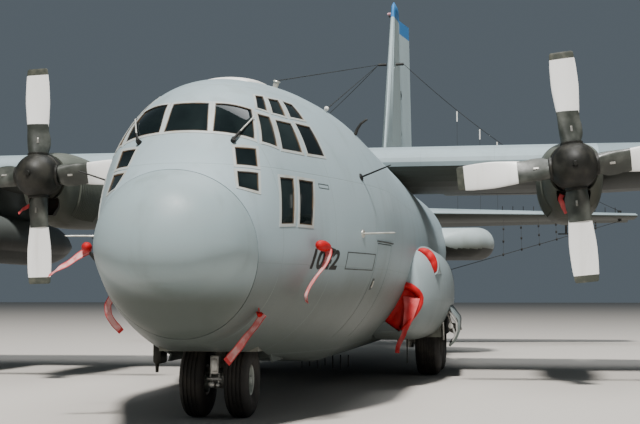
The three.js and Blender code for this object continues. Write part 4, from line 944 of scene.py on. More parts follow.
for engine, (x, z, side) in ENGINES.items():
    body = f"propeller_{engine}"
    hub_place = at(x, PROPELLER_STATION, z)
    turns = [90 * k - BLADE_TURN[engine] for k in range(4)]
    for part, finish, low, high, steps in (
        ("white", blade_white, BLADE_ROOT, TIP_BAND, 26), ("tip", blade_dark, TIP_BAND, BLADE_TIP, 10),
    ):
        blades = joined([
            blade_piece("blade", BLADE_ROWS, low, high, steps, turn, closed=(part == "tip")) for turn in turns
        ], f"blades_{part}_{engine}")
        nodes = [body] if part == "white" else []
        dress(smooth(moved(blades, hub_place), 40), finish, body, "propeller", *nodes)
    cuffs = joined([
        blade_piece("cuff", CUFF_ROWS, CUFF_ROOT, CUFF_END, 22, turn, closed=True) for turn in turns
    ], f"blade_cuffs_{engine}")
    dress(smooth(moved(cuffs, hub_place), 45), cuff_rubber, body, "propeller")
    plates = []
    for turn in turns:
        plate = block("plate", (-0.020, MIDDLE_STATION - 0.098, 0.61), (0.020, MIDDLE_STATION - 0.080, 0.71))
        plate.data.transform(
            Matrix.Rotation(math.radians(turn), 4, "Y") @ Matrix.Rotation(math.radians(PLATE_PITCH), 4, "Z")
        )
        plates.append(plate)
    plates = joined(plates, f"cuff_plates_{engine}")
    modify(plates, "BEVEL", width=0.003, segments=2)
    dress(moved(plates, hub_place), plate_metal, body, "propeller")

    dome = [(0.425 * math.sin(a) ** 0.9, -0.50 * math.cos(a)) for a in np.linspace(0, math.pi / 2, 16)]
    spinner = turned(f"spinner_{engine}", dome + [(0.43, 0.06), (0.43, 0.20), (0.30, 0.212), (0.0, 0.212)],
                     hub_place, (0, 1, 0), 56)
    cap = turned("cap", ((0, -0.535), (0.035, -0.535), (0.045, -0.525), (0.045, -0.50), (0.062, -0.50),
                         (0.066, -0.492), (0.060, -0.47)), hub_place, (0, 1, 0), 28)
    band_ring = turned("band", ((0.424, -0.035), (0.437, -0.03), (0.437, 0.0), (0.426, 0.008)),
                       hub_place, (0, 1, 0), 56)
    collars = []
    for turn in turns:
        angle = math.radians(turn)
        out = Vector((math.sin(angle), 0, math.cos(angle)))
        collars.append(turned("collar", (
            (0.175, 0.30), (0.205, 0.385), (0.20, 0.425), (0.175, 0.435), (0.165, 0.40), (0.15, 0.30),
        ), hub_place, out, 32))
    spinner = joined([cap, band_ring, *collars, spinner], f"spinner_{engine}")
    dress(smooth(spinner, 40), spinner_paint, body, "propeller")

# Sponsons: the long fairings beside the hold that house the main wheels, in riveted aluminium skin.
# Each has a cooling scoop low in its front, which a padded red cover closes on the ground.
# Each row: station, reach from the plane's middle, bottom, top
SPONSON_ROWS = np.array([
    (8.24, 1.98, 1.28, 1.92), (8.27, 2.12, 1.10, 2.08), (8.32, 2.24, 0.99, 2.21), (8.6, 2.385, 0.915, 2.375),
    (9.2, 2.53, 0.83, 2.50), (10.2, 2.64, 0.78, 2.57), (11.5, 2.68, 0.77, 2.59), (14.9, 2.56, 0.78, 2.58),
    (16.2, 2.40, 0.90, 2.52), (17.6, 2.22, 1.15, 2.38), (18.3, 2.08, 1.40, 2.20),
])
SPONSON_FRONT, SPONSON_LENGTH, SPONSON_COLUMNS = 8.24, 10.06, 56
INNER_REACH = 1.90
WELL = {"front": 11.15, "rear": 14.47, "inner": 1.56, "outer": 2.47, "top": 2.30, "side_top": 1.44}
LINER_GAP = 0.004


def sponson_points(stations, turn, side, outset=0.0):
    """turn runs from -1, the bottom, through 0, outboard, to 1, the top; beyond, it runs in to the hull."""
    reach, bottom, top = smooth_table(SPONSON_ROWS, stations, 1).T
    middle, half = (bottom + top) / 2, (top - bottom) / 2 + outset
    angles = np.clip(turn, -1, 1) * math.pi / 2
    s, c = np.sin(angles), np.clip(np.cos(angles), 0, 1)
    upper = s > 0
    x = INNER_REACH + (reach - INNER_REACH + outset) * c ** np.where(upper, 0.7, 0.85)
    x = np.where(np.abs(turn) > 1, INNER_REACH - (np.abs(turn) - 1) * 2.0, x)
    z = middle + half * np.sign(s) * np.abs(s) ** np.where(upper, 0.8, 1.0)
    return places_at(x * side, stations, z)


SCOOP = ((2.28, 1.59), (1.85, 1.944), (1.45, 1.318), (1.905, 0.985))
sponson_paint = aircraft_paint(
    "sponson_paint", (0.285, 0.345, 0.36), seam_axes=(("y", 0.56, 0.05, 0.004), ("z", 0.47, 0.3, 0.004)),
    low=0.38, high=0.95,
)
# Dark paint for the wheel wells, also used as painted shade on the gear doors' inner faces.
well_and_shade_paint = Finish("wheel_well_paint", (0.16, 0.17, 0.14), 0.6)
well_and_shade_paint.patches((4, 6), 0.35, 0.7, (0.17, 0.18, 0.15), (0.06, 0.055, 0.045))
well_and_shade_paint.bump(well_and_shade_paint.noise(22, 4), 0.3, 0.004)
vinyl_finish = Finish("cover_vinyl", (0.48, 0.006, 0.010), 0.52, {"Specular IOR Level": 0.25})
vinyl_finish.patches((11, 5), 0.35, 0.7, (0.50, 0.006, 0.010), (0.33, 0.003, 0.005), 0.7)
warp = seams(vinyl_finish, vinyl_finish.x, 0.004, 0, 0.0016)
weft = seams(vinyl_finish, vinyl_finish.z, 0.004, 0, 0.0016)
vinyl_finish.bump(abs(warp - weft) * 0.25 + vinyl_finish.noise(24, 4), 0.35, 0.004)
for side, label in SIDES:
    def sponson_surface(u, v, side=side):
        stations = SPONSON_FRONT + SPONSON_LENGTH * v ** 1.15
        column = np.rint(u * SPONSON_COLUMNS) % SPONSON_COLUMNS
        return sponson_points(stations, -1.25 + 2.5 * column / (SPONSON_COLUMNS - 1), side)

    fairing = ends_closed(draped_grid(f"sponson_skin_{label}", SPONSON_COLUMNS, 72, sponson_surface))
    front, rear, inner, outer = (WELL[edge] for edge in ("front", "rear", "inner", "outer"))
    cut(fairing, side_block("well_space", side, (inner, outer), (front, rear), (0.2, WELL["top"])))
    cut(fairing, side_block("side_space", side, (2.40, 2.90), (front, rear), (0.2, WELL["side_top"])))
    scoop_outline = [at(x * side, 0, z) for x, z in SCOOP]
    cut(fairing, raised_outline("scoop_space", scoop_outline, *along_plane(8.0, 8.95)))
    dress(smooth(fairing, 36), sponson_paint, "airframe", "paint", f"sponson_{label}")

    liner = side_block(
        f"well_liner_{label}", side, (inner + LINER_GAP, outer - LINER_GAP),
        (front + LINER_GAP, rear - LINER_GAP), (0.79, WELL["top"] - LINER_GAP),
    )
    bisect(liner, at(0, 0, 0.80), Vector((0, 0, 1)), keep_below=False)
    dress(liner, well_and_shade_paint, "airframe", "paint")

    def scoop_cover_surface(u, v, side=side):
        a, b, c, d = (np.array(corner) for corner in SCOOP)
        top_edge = a + (b - a) * u[:, None]
        low_edge = d + (c - d) * u[:, None]
        place = low_edge + (top_edge - low_edge) * v[:, None]
        swell = np.sin(u * math.pi) ** 0.4 * np.sin(v * math.pi) ** 0.4
        folds = 0.006 * np.sin(u * 19) + 0.005 * np.sin(v * 15 + u * 6)
        stations = 8.47 - 0.13 * swell + folds
        return places_at(place[:, 0] * side, stations, place[:, 1])
    cover = draped_grid(f"scoop_cover_{label}", 36, 36, scoop_cover_surface)
    walled(cover, 0.05)
    dress(smooth(cover, 50), vinyl_finish, "airframe", "paint")

# Main gear doors: curved aluminium panels that hang open below the sponsons' sides, on a rod at each end.
# Their inner faces take the wheel wells' dark paint as painted shade.
# Each row: share of the way down, distance from the plane's middle, height
DOOR_FACE = np.array([
    (0.0, 2.64, 1.44), (0.18, 2.745, 1.30), (0.40, 2.85, 1.12), (0.60, 2.84, 0.92), (0.82, 2.77, 0.74),
    (1.0, 2.65, 0.61),
])
MAIN_DOOR = {"front": 11.165, "length": 3.29, "narrowing": 0.11}
strut_metal = Finish("strut_metal", (0.62, 0.61, 0.57), 0.32, {"Metallic": 0.55})
strut_metal.patches((12, 5), 0.42, 0.75, (0.64, 0.63, 0.59), (0.24, 0.22, 0.18), 0.8)
strut_metal.set("Roughness", strut_metal.noise(20, 4) * 0.35 + 0.18)
strut_metal.bump(strut_metal.noise(40, 3), 0.12, 0.002)
for side, label in SIDES:
    def door_surface(u, v, side=side):
        x, z = smooth_table(DOOR_FACE, u, 1).T
        stations = MAIN_DOOR["front"] + MAIN_DOOR["length"] * v
        x = x - MAIN_DOOR["narrowing"] * v
        return places_at(x * side, stations, z)
    panel = draped_grid(f"main_gear_door_{label}", 28, 24, door_surface)
    if side < 0:
        panel.data.flip_normals()
    walled(panel, 0.045)
    dress(smooth(panel, 36), sponson_paint, "airframe", "paint")
    # Painted shade: faces that look inboard take the dark well paint, for the shade inside the open doors.
    panel.data.materials.append(well_and_shade_paint.material)
    for polygon in panel.data.polygons:
        if polygon.normal.x * side < -0.15:
            polygon.material_index = 1
    links = joined([
        turned("fitting", ((0, 0.05), (0.045, 0.05), (0.05, 0.03), (0.10, 0.02), (0.10, -0.02), (0, -0.02)),
               at(2.70 * side, 11.42, 0.98), (-0.55 * side, -1, 0), 24),
        rod("rib", [at(2.60 * side, 11.20, 1.36), at(2.775 * side, 11.20, 1.10), at(2.79 * side, 11.20, 0.92),
                    at(2.70 * side, 11.20, 0.72)], 0.022),
    ] + [
        rod("link", [at(2.55 * side, station, 1.40), at(2.74 * side, station, 0.86)], 0.024)
        for station in (11.30, 14.30)
    ] + [
        rod("link", [at(2.50 * side, 11.24, 1.42), at(2.52 * side, 11.24, 0.74)], 0.020),
        turned("joint", ((0, -0.04), (0.05, -0.04), (0.05, 0.04), (0, 0.04)),
               at(2.66 * side, 11.30, 1.02), (0, 1, 0), 16),
    ], f"main_gear_door_links_{label}")
    dress(smooth(links, 40), strut_metal, "airframe", "strut")

# Main wheels: forged halves bolted together, in wide low-pressure tyres with plain circumferential grooves.
# Each turns on its own axle, which stands out from a tall leg in the well.
rubber = Finish("tyre_rubber", (0.020, 0.018, 0.016), 0.78)
rubber.patches((7, 5), 0.42, 0.72, (0.016, 0.0145, 0.013), (0.060, 0.050, 0.040), 0.5)
rubber.set("Roughness", rubber.noise(20, 3) * 0.3 + 0.6)
rubber.bump(rubber.noise(60, 3) + seams(rubber, rubber.z, 0.013, 0, 0.002) * 0.1, 0.25, 0.002)
rim_paint = Finish("wheel_paint", (0.34, 0.37, 0.34), 0.45)
rim_paint.patches((10, 6), 0.42, 0.70, (0.36, 0.39, 0.36), (0.12, 0.11, 0.09))
rim_paint.set("Roughness", rim_paint.noise(16, 4) * 0.3 + 0.3)
rim_paint.bump(rim_paint.noise(35, 3), 0.2, 0.002)
GROOVE_HALF, GROOVE_DEPTH = 0.011, 0.014


def tyre_profile(wheel, grooves):
    """A tyre's section for a wheel's sizes: its walls, and a tread with grooves at shares of its width."""
    radius, width, rim = (wheel[size] for size in ("radius", "width", "rim"))
    wall = radius - rim
    side = [(rim, 0.36), (rim + wall * 0.12, 0.43), (rim + wall * 0.35, 0.485), (rim + wall * 0.58, 0.49),
            (rim + wall * 0.80, 0.455), (radius - 0.030, 0.395), (radius - 0.014, 0.345)]
    edge = GROOVE_HALF / width
    tread = []
    for share in grooves:
        crown = radius - 0.05 * share ** 2
        bottom = crown - GROOVE_DEPTH
        tread += [(crown, share - edge), (bottom, share - edge * 0.7), (bottom, share + edge * 0.7),
                  (crown, share + edge)]
    half_circle = [(r, -share) for r, share in side] + tread + [(r, share) for r, share in reversed(side)]
    return [(r, share * width) for r, share in half_circle + [half_circle[0]]]


def wheel_form(name, centre, out, rim, hub, reach, bolt_ring, bolts):
    """A wheel whose outer face looks along out: rim flanges, a dished web, a hub and its bolts."""
    face = [(0, hub[1]), (hub[0] * 0.8, hub[1]), (hub[0], hub[1] - 0.012), (hub[0] * 1.04, reach * 0.48),
            (bolt_ring + 0.03, reach * 0.42), (rim - 0.045, reach * 0.55), (rim - 0.020, reach * 0.95),
            (rim + 0.006, reach), (rim + 0.008, reach * 0.93), (rim - 0.001, reach * 0.85)]
    back = [(rim - 0.001, -reach * 0.85), (rim + 0.008, -reach * 0.93), (rim + 0.006, -reach),
            (rim - 0.020, -reach * 0.95), (rim - 0.045, -reach * 0.5), (hub[0] * 1.1, -reach * 0.4),
            (hub[0] * 1.1, -reach * 0.8), (0, -reach * 0.8)]
    parts = [turned("disc", face + back, centre, out, 56)]
    first, second, ahead = basis(out)
    for k in range(bolts):
        angle = 2 * math.pi * k / bolts
        place = centre + (first * math.cos(angle) + second * math.sin(angle)) * bolt_ring * MODEL_SCALE
        parts.append(turned("bolt", ((0, reach * 0.52), (0.014, reach * 0.51), (0.016, reach * 0.38)),
                            place, ahead, 8))
    return smooth(joined(parts, name), 35)


MAIN_WHEEL = {"x": 2.17, "stations": (12.05, 13.57), "radius": 0.71, "width": 0.51, "rim": 0.254}
for side, label in SIDES:
    for row, station in zip(("front", "rear"), MAIN_WHEEL["stations"]):
        body = f"main_wheel_{label}_{row}"
        centre = at(MAIN_WHEEL["x"] * side, station, MAIN_WHEEL["radius"])
        profile = tyre_profile(MAIN_WHEEL, (-0.27, -0.16, -0.05, 0.05, 0.16, 0.27))
        tyre = turned(f"main_tyre_tread_{label}_{row}", profile, centre, (side, 0, 0), 72)
        dress(smooth(tyre, 50), rubber, body, "tyre", f"main_tyre_{label}_{row}")
        wheel = wheel_form(
            f"main_rim_{label}_{row}", centre, (side, 0, 0), 0.245, (0.085, 0.165), 0.175, 0.15, 10
        )
        dress(wheel, rim_paint, body, "rim", f"main_wheel_{label}_{row}")
    leg = merged_copy(f"main_leg_{label}", "leg")
    x = 1.77 * side
    extras = [leg]
    for station in MAIN_WHEEL["stations"]:
        extras.append(turned("gland", ((0.086, -0.05), (0.115, -0.045), (0.115, 0.045), (0.086, 0.05)),
                             at(x, station, 1.05), (0, 0, 1), 28))
        extras.append(turned("brake", (
            (0.07, -0.09), (0.19, -0.09), (0.20, -0.07), (0.20, 0.0), (0.19, 0.02), (0.07, 0.02),
        ), at(x + 0.22 * side, station, 0.71), (side, 0, 0), 32))
        extras.append(rod("line", [at(x, station - 0.11, 0.72), at(x - 0.02 * side, station - 0.14, 1.0),
                                   at(x, station - 0.12, 1.5)], 0.012))
    leg = joined(extras[1:] + [leg], f"main_leg_set_{label}")
    dress(smooth(leg, 35), strut_metal, "airframe", "strut", f"main_leg_{label}")

# Nose gear: twin wheels on one axle, on a steered fork below the shock strut.
# Torque links join the two, and the taxi light hangs in front of them.
NOSE_WHEEL = {"x": 0.30, "station": 3.06, "radius": 0.495, "width": 0.33, "rim": 0.203}
axle_parts = []
for side, label in SIDES:
    centre = at(NOSE_WHEEL["x"] * side, NOSE_WHEEL["station"], NOSE_WHEEL["radius"])
    profile = tyre_profile(NOSE_WHEEL, (-0.24, -0.08, 0.08, 0.24))
    tyre = turned(f"nose_tyre_tread_{label}", profile, centre, (side, 0, 0), 72)
    dress(smooth(tyre, 50), rubber, "nose_wheels", "tyre", f"nose_tyre_{label}")
    axle_parts.append(wheel_form("wheel", centre, (side, 0, 0), 0.197, (0.055, 0.125), 0.118, 0.115, 9))
axle_parts.append(turned("axle", ((0, -0.40), (0.052, -0.40), (0.052, 0.40), (0, 0.40)),
                         at(0, NOSE_WHEEL["station"], NOSE_WHEEL["radius"]), (1, 0, 0), 24))
nose_pair = joined(axle_parts, "nose_rims")
dress(smooth(nose_pair, 35), rim_paint, "nose_wheels", "rim", "nose_wheels")


def plate_form(name, low, high, bevel=0.006):
    """A block with rounded edges."""
    return modify(block(name, low, high), "BEVEL", width=bevel, segments=2)


piston_foot, collar_foot, gland_foot = (at(0, NOSE_WHEEL["station"], z) for z in (0.56, 0.60, 1.03))
fork = joined([
    turned("piston", ((0.058, 0.0), (0.058, 0.42)), piston_foot, (0, 0, 1), 32),
    turned("collar", ((0.06, 0), (0.088, 0.01), (0.088, 0.07), (0.06, 0.08)), collar_foot, (0, 0, 1), 32),
    plate_form("torque", (-0.05, 2.80, 0.60), (0.05, 2.99, 0.66)),
    plate_form("box", (-0.058, 2.72, 0.585), (0.058, 2.80, 0.83)),
    plate_form("box_lid", (-0.042, 2.705, 0.62), (0.042, 2.725, 0.79)),
    rod("bar", [at(-0.10, 2.74, 0.525), at(0.10, 2.74, 0.525)], 0.020),
    *(rod("arm", [at(x, 2.76, 0.60), at(x, 2.745, 0.52)], 0.013) for x in (-0.06, 0.06)),
    turned("lamp", ((0, -0.035), (0.030, -0.035), (0.042, -0.02), (0.045, 0.05), (0.02, 0.09), (0, 0.09)),
           at(-0.035, 2.73, 0.455), (0, 1, 0), 24),
    turned("lamp", ((0, -0.03), (0.022, -0.03), (0.03, -0.015), (0.03, 0.05), (0, 0.07)),
           at(0.055, 2.735, 0.445), (0, 1, 0), 20),
    rod("link", [at(0.055, 2.74, 0.45), at(0.055, 2.745, 0.52)], 0.012),
    rod("link", [at(-0.035, 2.75, 0.46), at(-0.035, 2.745, 0.52)], 0.012),
    merged_copy("nose_fork", "fork"),
], "nose_fork_set")
dress(smooth(fork, 35), strut_metal, "nose_fork", "strut", "nose_fork")
strut = joined([
    turned("gland", ((0.096, 0.0), (0.118, 0.01), (0.118, 0.09), (0.096, 0.10)), gland_foot, (0, 0, 1), 32),
    *(rod("jack", [at(x, 3.05, 1.22), at(x, 3.05, 1.55)], 0.035) for x in (-0.13, 0.13)),
    merged_copy("nose_leg", "strut"),
], "nose_leg_set")
dress(smooth(strut, 35), strut_metal, "airframe", "strut", "nose_leg")
nose_doors = []
for side in (1, -1):
    def bay_door_surface(u, v, side=side):
        z = 0.89 - 0.15 * u
        x = 0.668 + 0.055 * u ** 0.7
        return places_at(x * side, 3.02 + 0.68 * v, z)
    door = draped_grid("bay_door", 8, 12, bay_door_surface)
    walled(door, 0.022)
    nose_doors.append(door)
    for station in (3.2, 3.55):
        hinge_places = [at(0.665 * side, station, 0.93), at(0.675 * side, station, 0.82)]
        nose_doors.append(rod("hinge", hinge_places, 0.012))
nose_doors = joined(nose_doors, "nose_gear_doors")
dress(smooth(nose_doors, 36), hull_paint, "airframe", "paint")
BAY_GAP = 0.005
bay_half = NOSE_BAY["half"] - BAY_GAP
bay = block("nose_bay_liner", (-bay_half, NOSE_BAY["front"] + BAY_GAP, 0.72),
            (bay_half, NOSE_BAY["rear"] - BAY_GAP, 1.35))
bisect(bay, at(0, 0, 0.90), Vector((0, 0, 1)), keep_below=False)
cut(bay, block("strut_hole", (-0.12, 2.94, 1.2), (0.12, 3.18, 1.5)))
dress(bay, well_and_shade_paint, "airframe", "paint")

# Side blisters on the aft fuselage: smooth glass fibre covers over aerials, one on each side.
# Each is bolted to the skin all round, and its edge runs a little way inside it.
# The blisters' lower halves are darkened as painted shade, by this paint's gradient and the dark underside
# paint.
blister_paint = aircraft_paint("blister_paint", (0.39, 0.455, 0.46), 0.45, wear_and_shade=1.15, low=1.38, high=1.64)
BLISTER = {"front": 19.40, "length": 3.80, "height": 3.09}
# Each row: station, reach from the plane's middle, half height
BLISTER_ROWS = np.array([
    (19.40, 2.02, 0.07), (19.59, 2.60, 0.27), (20.08, 3.14, 0.405), (20.92, 3.40, 0.45), (21.87, 3.33, 0.43),
    (22.74, 2.82, 0.27), (23.20, 2.10, 0.09),
])


def hull_angles(stations, heights, side):
    """The angles round the hull, for hull_points, at which its skin has these heights."""
    flat, low, top, half, mid, power = smooth_table(HULL_ROWS, stations).T
    above = np.abs((heights - mid) / (top - mid)) ** (power / 2)
    rise = np.where(heights >= mid, above, (heights - mid) / (mid - low))
    angles = np.arcsin(np.clip(rise, -1, 1))
    return angles if side > 0 else math.pi - angles


for side, label in SIDES:
    def blister_surface(u, v, side=side):
        stations = BLISTER["front"] + BLISTER["length"] * v ** 1.1
        reach, half = smooth_table(BLISTER_ROWS, stations, 1).T
        turn = np.clip((u - 0.1) / 0.8, 0, 1) * math.pi - math.pi / 2
        z = BLISTER["height"] + half * np.sin(turn)
        in_wall = hull_points(stations, hull_angles(stations, z, 1), -0.06)[:, 0] / MODEL_SCALE
        x = np.where((u < 0.06) | (u > 0.94), in_wall, reach - half * (1 - np.cos(turn)))
        return places_at(x * side, stations, z)
    pod = draped_grid(f"blister_skin_{label}", 44, 56, blister_surface)
    shade_painted_below(dress(smooth(pod, 40), blister_paint, "airframe", "radome", f"blister_{label}"), -0.35)

# Wing tanks: riveted aluminium drop tanks on slab pylons between the engines, painted dark all over and
# darker below as painted shade.
# The pylon is bolted to the wing's spars, and the tank's filler stands on top.
# Each row: distance from the tank's nose, radius
TANK_ROWS = np.array([
    (0, 0), (0.10, 0.135), (0.42, 0.33), (1.10, 0.46), (2.20, 0.53), (4.40, 0.53), (5.60, 0.49), (6.15, 0.40),
    (6.75, 0.22), (7.30, 0.01), (7.31, 0.0),
])
TANK_X, TANK_FRONT, TANK_HEIGHT, TANK_LENGTH = 7.35, 9.10, 2.87, 7.31
# Painted shade: the tanks' paint is much darker than the hull's, for the shade under the wing.
tank_shade_paint = aircraft_paint(
    "tank_shade_paint", (0.115, 0.128, 0.122), 0.45, (("y", 0.61, 0.2, 0.004),), wear_and_shade=1.2, low=1.28, high=1.66
)
for side, label in SIDES:
    reach = np.linspace(0, 1, 60) ** 1.6 * TANK_LENGTH
    outline = [(float(r), float(d)) for d, r in zip(reach, smooth_table(TANK_ROWS, reach)[:, 0])]
    nose = at(TANK_X * side, TANK_FRONT, TANK_HEIGHT)
    tank = turned(f"tank_skin_{label}", outline, nose, (0, 1, 0), 48)
    pylon = merged_copy(f"wing_tank_{label}", "pylon")
    bisect(pylon, at(0, 0, 3.20), Vector((0, 0, 1)), keep_below=False)
    filler = turned("filler", ((0, 0.0), (0.07, 0.0), (0.08, -0.03), (0.08, -0.06)),
                    at(TANK_X * side, 11.2, 3.39), (0, 0, 1), 20)
    tank = joined([pylon, filler, tank], f"tank_skin_{label}")
    shade_painted_below(dress(smooth(tank, 36), tank_shade_paint, "airframe", "paint", f"wing_tank_{label}"), -0.45)

# Flight deck: the floor, the instrument hood under the windscreen, and a pair of crew seats.
# Painted sheet metal and padded cushions, screwed to the floor. The hold's floor is bare worn metal.
cabin_finish = Finish("cabin_paint", (0.11, 0.125, 0.12), 0.7)
cabin_finish.patches((5, 5), 0.35, 0.7, (0.12, 0.135, 0.13), (0.05, 0.055, 0.05))
cabin_finish.bump(cabin_finish.noise(30, 3), 0.2, 0.003)
deck_finish = Finish("deck_metal", (0.20, 0.20, 0.19), 0.55, {"Metallic": 0.2})
deck_finish.patches((4, 6), 0.35, 0.7, (0.22, 0.22, 0.21), (0.09, 0.085, 0.075))
deck_finish.bump(
    seams(deck_finish, deck_finish.x, 0.25, 0, 0.006) + deck_finish.noise(60, 2) * 0.3, 0.3, 0.003
)
for node, finish in (("flight_deck", cabin_finish), ("cargo_floor", deck_finish)):
    for slot in frame["nodes"][node].material_slots:
        slot.material = finish.material
hood = plate_form("instrument_hood", (-0.95, 1.75, 3.05), (0.95, 2.05, 3.40), 0.03)
dress(smooth(hood, 40), cabin_finish, "airframe", "cabin")
for side, label in SIDES:
    x = 0.55 * side
    seat = joined([
        plate_form("base", (x - 0.24, 2.75, 2.38), (x + 0.24, 3.25, 2.55), 0.03),
        plate_form("cushion", (x - 0.25, 2.65, 2.55), (x + 0.25, 3.22, 2.70), 0.035),
        plate_form("back", (x - 0.25, 3.18, 2.66), (x + 0.25, 3.30, 3.42), 0.035),
        plate_form("headrest", (x - 0.14, 3.19, 3.46), (x + 0.14, 3.29, 3.68), 0.03),
        *(rod("post", [at(x + out, 3.24, 3.36), at(x + out, 3.24, 3.52)], 0.012) for out in (-0.08, 0.08)),
    ], f"crew_seat_{label}")
    dress(smooth(seat, 40), cabin_finish, "airframe", "cabin")

# Fittings on the hull: probes, wipers, a whip aerial, drains, a roof hump, a rain strip, and painted marks.
# Metal ones are screwed to the skin by a foot and marks are sprayed on, so the skin's curve gives each place.
def skin_place(station, height, side, out=0.0):
    """A place on the hull's skin, moved out by out (real metres), and the skin's outward direction."""
    stations = np.array([station, station + 0.02, station])
    angles = hull_angles(stations, np.full(3, height, float), side)
    angles[2] += 0.01
    place, aft, around = (Vector(p) for p in hull_points(stations, angles))
    outward = (aft - place).cross(around - place).normalized()
    return place + outward * out * MODEL_SCALE, outward


def skin_patch(name, stations, heights, side, out, thickness, columns, rows):
    """A thin panel that lies on the skin between two stations and two heights."""
    def surface(u, v):
        s = stations[0] + (stations[1] - stations[0]) * v
        h = heights[0] + (heights[1] - heights[0]) * u
        return hull_points(s, hull_angles(s, h, side), out)
    patch = draped_grid(name, columns, rows, surface)
    if patch.data.polygons[0].normal.x * side < 0:
        patch.data.flip_normals()
    return walled(patch, thickness)


MARK_LIFT, MARK_DEPTH = 0.003, 0.004


def outline_on_skin(name, stations, heights, side, width):
    """Four strips of paint round a blank plate between two stations and two heights."""
    (a, b), (low, high) = stations, heights
    lie = (side, MARK_LIFT, MARK_DEPTH)
    return joined([
        skin_patch(name, (a, b), (high - width, high), *lie, 2, 14),
        skin_patch(name, (a, b), (low, low + width), *lie, 2, 14),
        skin_patch(name, (a, a + width), (low, high), *lie, 8, 2),
        skin_patch(name, (b - width, b), (low, high), *lie, 8, 2),
    ])


def speckled(name, colour, second, roughness, scale=12, metallic=0.0):
    """A plain paint or metal that varies in patches."""
    finish = Finish(name, colour, roughness, {"Metallic": metallic, "Specular IOR Level": 0.3})
    finish.patches((scale, 5), 0.38, 0.70, colour, second)
    finish.set("Roughness", finish.noise(scale * 2, 3) * 0.25 + roughness - 0.12)
    finish.bump(finish.noise(scale * 4, 3), 0.15, 0.002)
    return finish


black_paint = speckled("black_paint", (0.009, 0.009, 0.008), (0.024, 0.023, 0.020), 0.55)
stencil_paint = speckled("stencil_paint", (0.035, 0.040, 0.038), (0.09, 0.10, 0.095), 0.6, 20)
white_paint = speckled("roof_white_paint", (0.80, 0.80, 0.77), (0.62, 0.61, 0.57), 0.5, 6)
pale_metal = speckled("probe_metal", (0.55, 0.55, 0.50), (0.33, 0.32, 0.28), 0.4, 18, 0.5)

SIDE_PROBES = (("upper", 3.71, 3.26, black_paint), ("lower", 3.46, 2.46, pale_metal))
for side, label in SIDES:
    for name, station, height, finish in SIDE_PROBES:
        foot, outward = skin_place(station, height, side)
        probe = joined([
            turned("foot", ((0, 0.012), (0.05, 0.012), (0.06, -0.01)), foot, outward, 20),
            rod("probe", [foot, foot + outward * 0.20, foot + outward * 0.235], (0.014, 0.011, 0.008)),
        ], f"side_probe_{name}_{label}")
        dress(smooth(probe, 40), finish, "airframe", "strut")

    foot, outward = skin_place(2.50, 2.04, side)
    elbow = at(1.645 * side, 2.44, 2.20)
    nose_end = at(1.535 * side, 2.05, 2.245)
    pitot = joined([
        turned("foot", ((0, 0.014), (0.055, 0.014), (0.07, -0.01)), foot, outward, 20),
        rod("mast", [foot, elbow, elbow.lerp(nose_end, 0.25), nose_end], (0.030, 0.026, 0.018, 0.016)),
    ], f"pitot_tube_{label}")
    dress(smooth(pitot, 40), black_paint, "airframe", "strut")

    arm_foot, outward = skin_place(1.285, 3.475, side)
    tip, _ = skin_place(1.66, 3.80, side, 0.035)
    wiper = joined([
        turned("pivot", ((0, 0.05), (0.028, 0.05), (0.034, 0.0), (0.034, -0.03)), arm_foot, outward, 16),
        rod("arm", [arm_foot + outward * 0.02, arm_foot.lerp(tip, 0.3) + outward * 0.02], 0.017),
    ], f"wiper_pivot_{label}")
    dress(smooth(wiper, 40), black_paint, "airframe", "strut")
    blade = rod(f"wiper_arm_{label}", [arm_foot.lerp(tip, 0.25) + outward * 0.022, tip], (0.012, 0.009))
    dress(smooth(blade, 40), pale_metal, "airframe", "strut")

whip_foot, outward = skin_place(4.85, 4.01, 1)
whip = rod("whip_aerial", [
    whip_foot, whip_foot + Vector((0.018, 0, 0.045)), whip_foot + Vector((0.045, 0, 0.085)),
    whip_foot + Vector((0.082, 0, 0.112)), whip_foot + Vector((0.095, 0, 0.116)),
], (0.028, 0.022, 0.019, 0.017, 0.012))
dress(smooth(whip, 40), black_paint, "airframe", "strut")
belly_drains = joined([
    rod("drain", [at(-0.12 + 0.15 * k, 9.9, 0.50), at(-0.12 + 0.15 * k, 9.9, low)], 0.013)
    for k, low in enumerate((0.24, 0.27, 0.22, 0.29, 0.24, 0.21, 0.27))
], "belly_drains")
dress(smooth(belly_drains, 40), black_paint, "airframe", "strut")
knob_foot, outward = skin_place(3.86, 4.585, 1)
knob = turned("roof_knob", (
    (0, 0.10), (0.045, 0.10), (0.055, 0.085), (0.04, 0.07), (0.04, 0.0), (0.08, -0.01),
), knob_foot, outward, 24)
dress(smooth(knob, 40), pale_metal, "airframe", "strut")


def hump_surface(u, v):
    stations = 3.1 + 1.7 * v
    angles = np.radians(101 - 22 * u)
    rise = 0.055 * np.clip(np.sin(u * math.pi), 0, 1) ** 0.25 * np.clip(np.sin(v * math.pi), 0, 1) ** 0.25
    return hull_points(stations, angles, rise - 0.004)


hump = draped_grid("roof_hump", 40, 40, hump_surface)
walled(hump, 0.03)
dress(smooth(hump, 50), white_paint, "airframe", "paint")

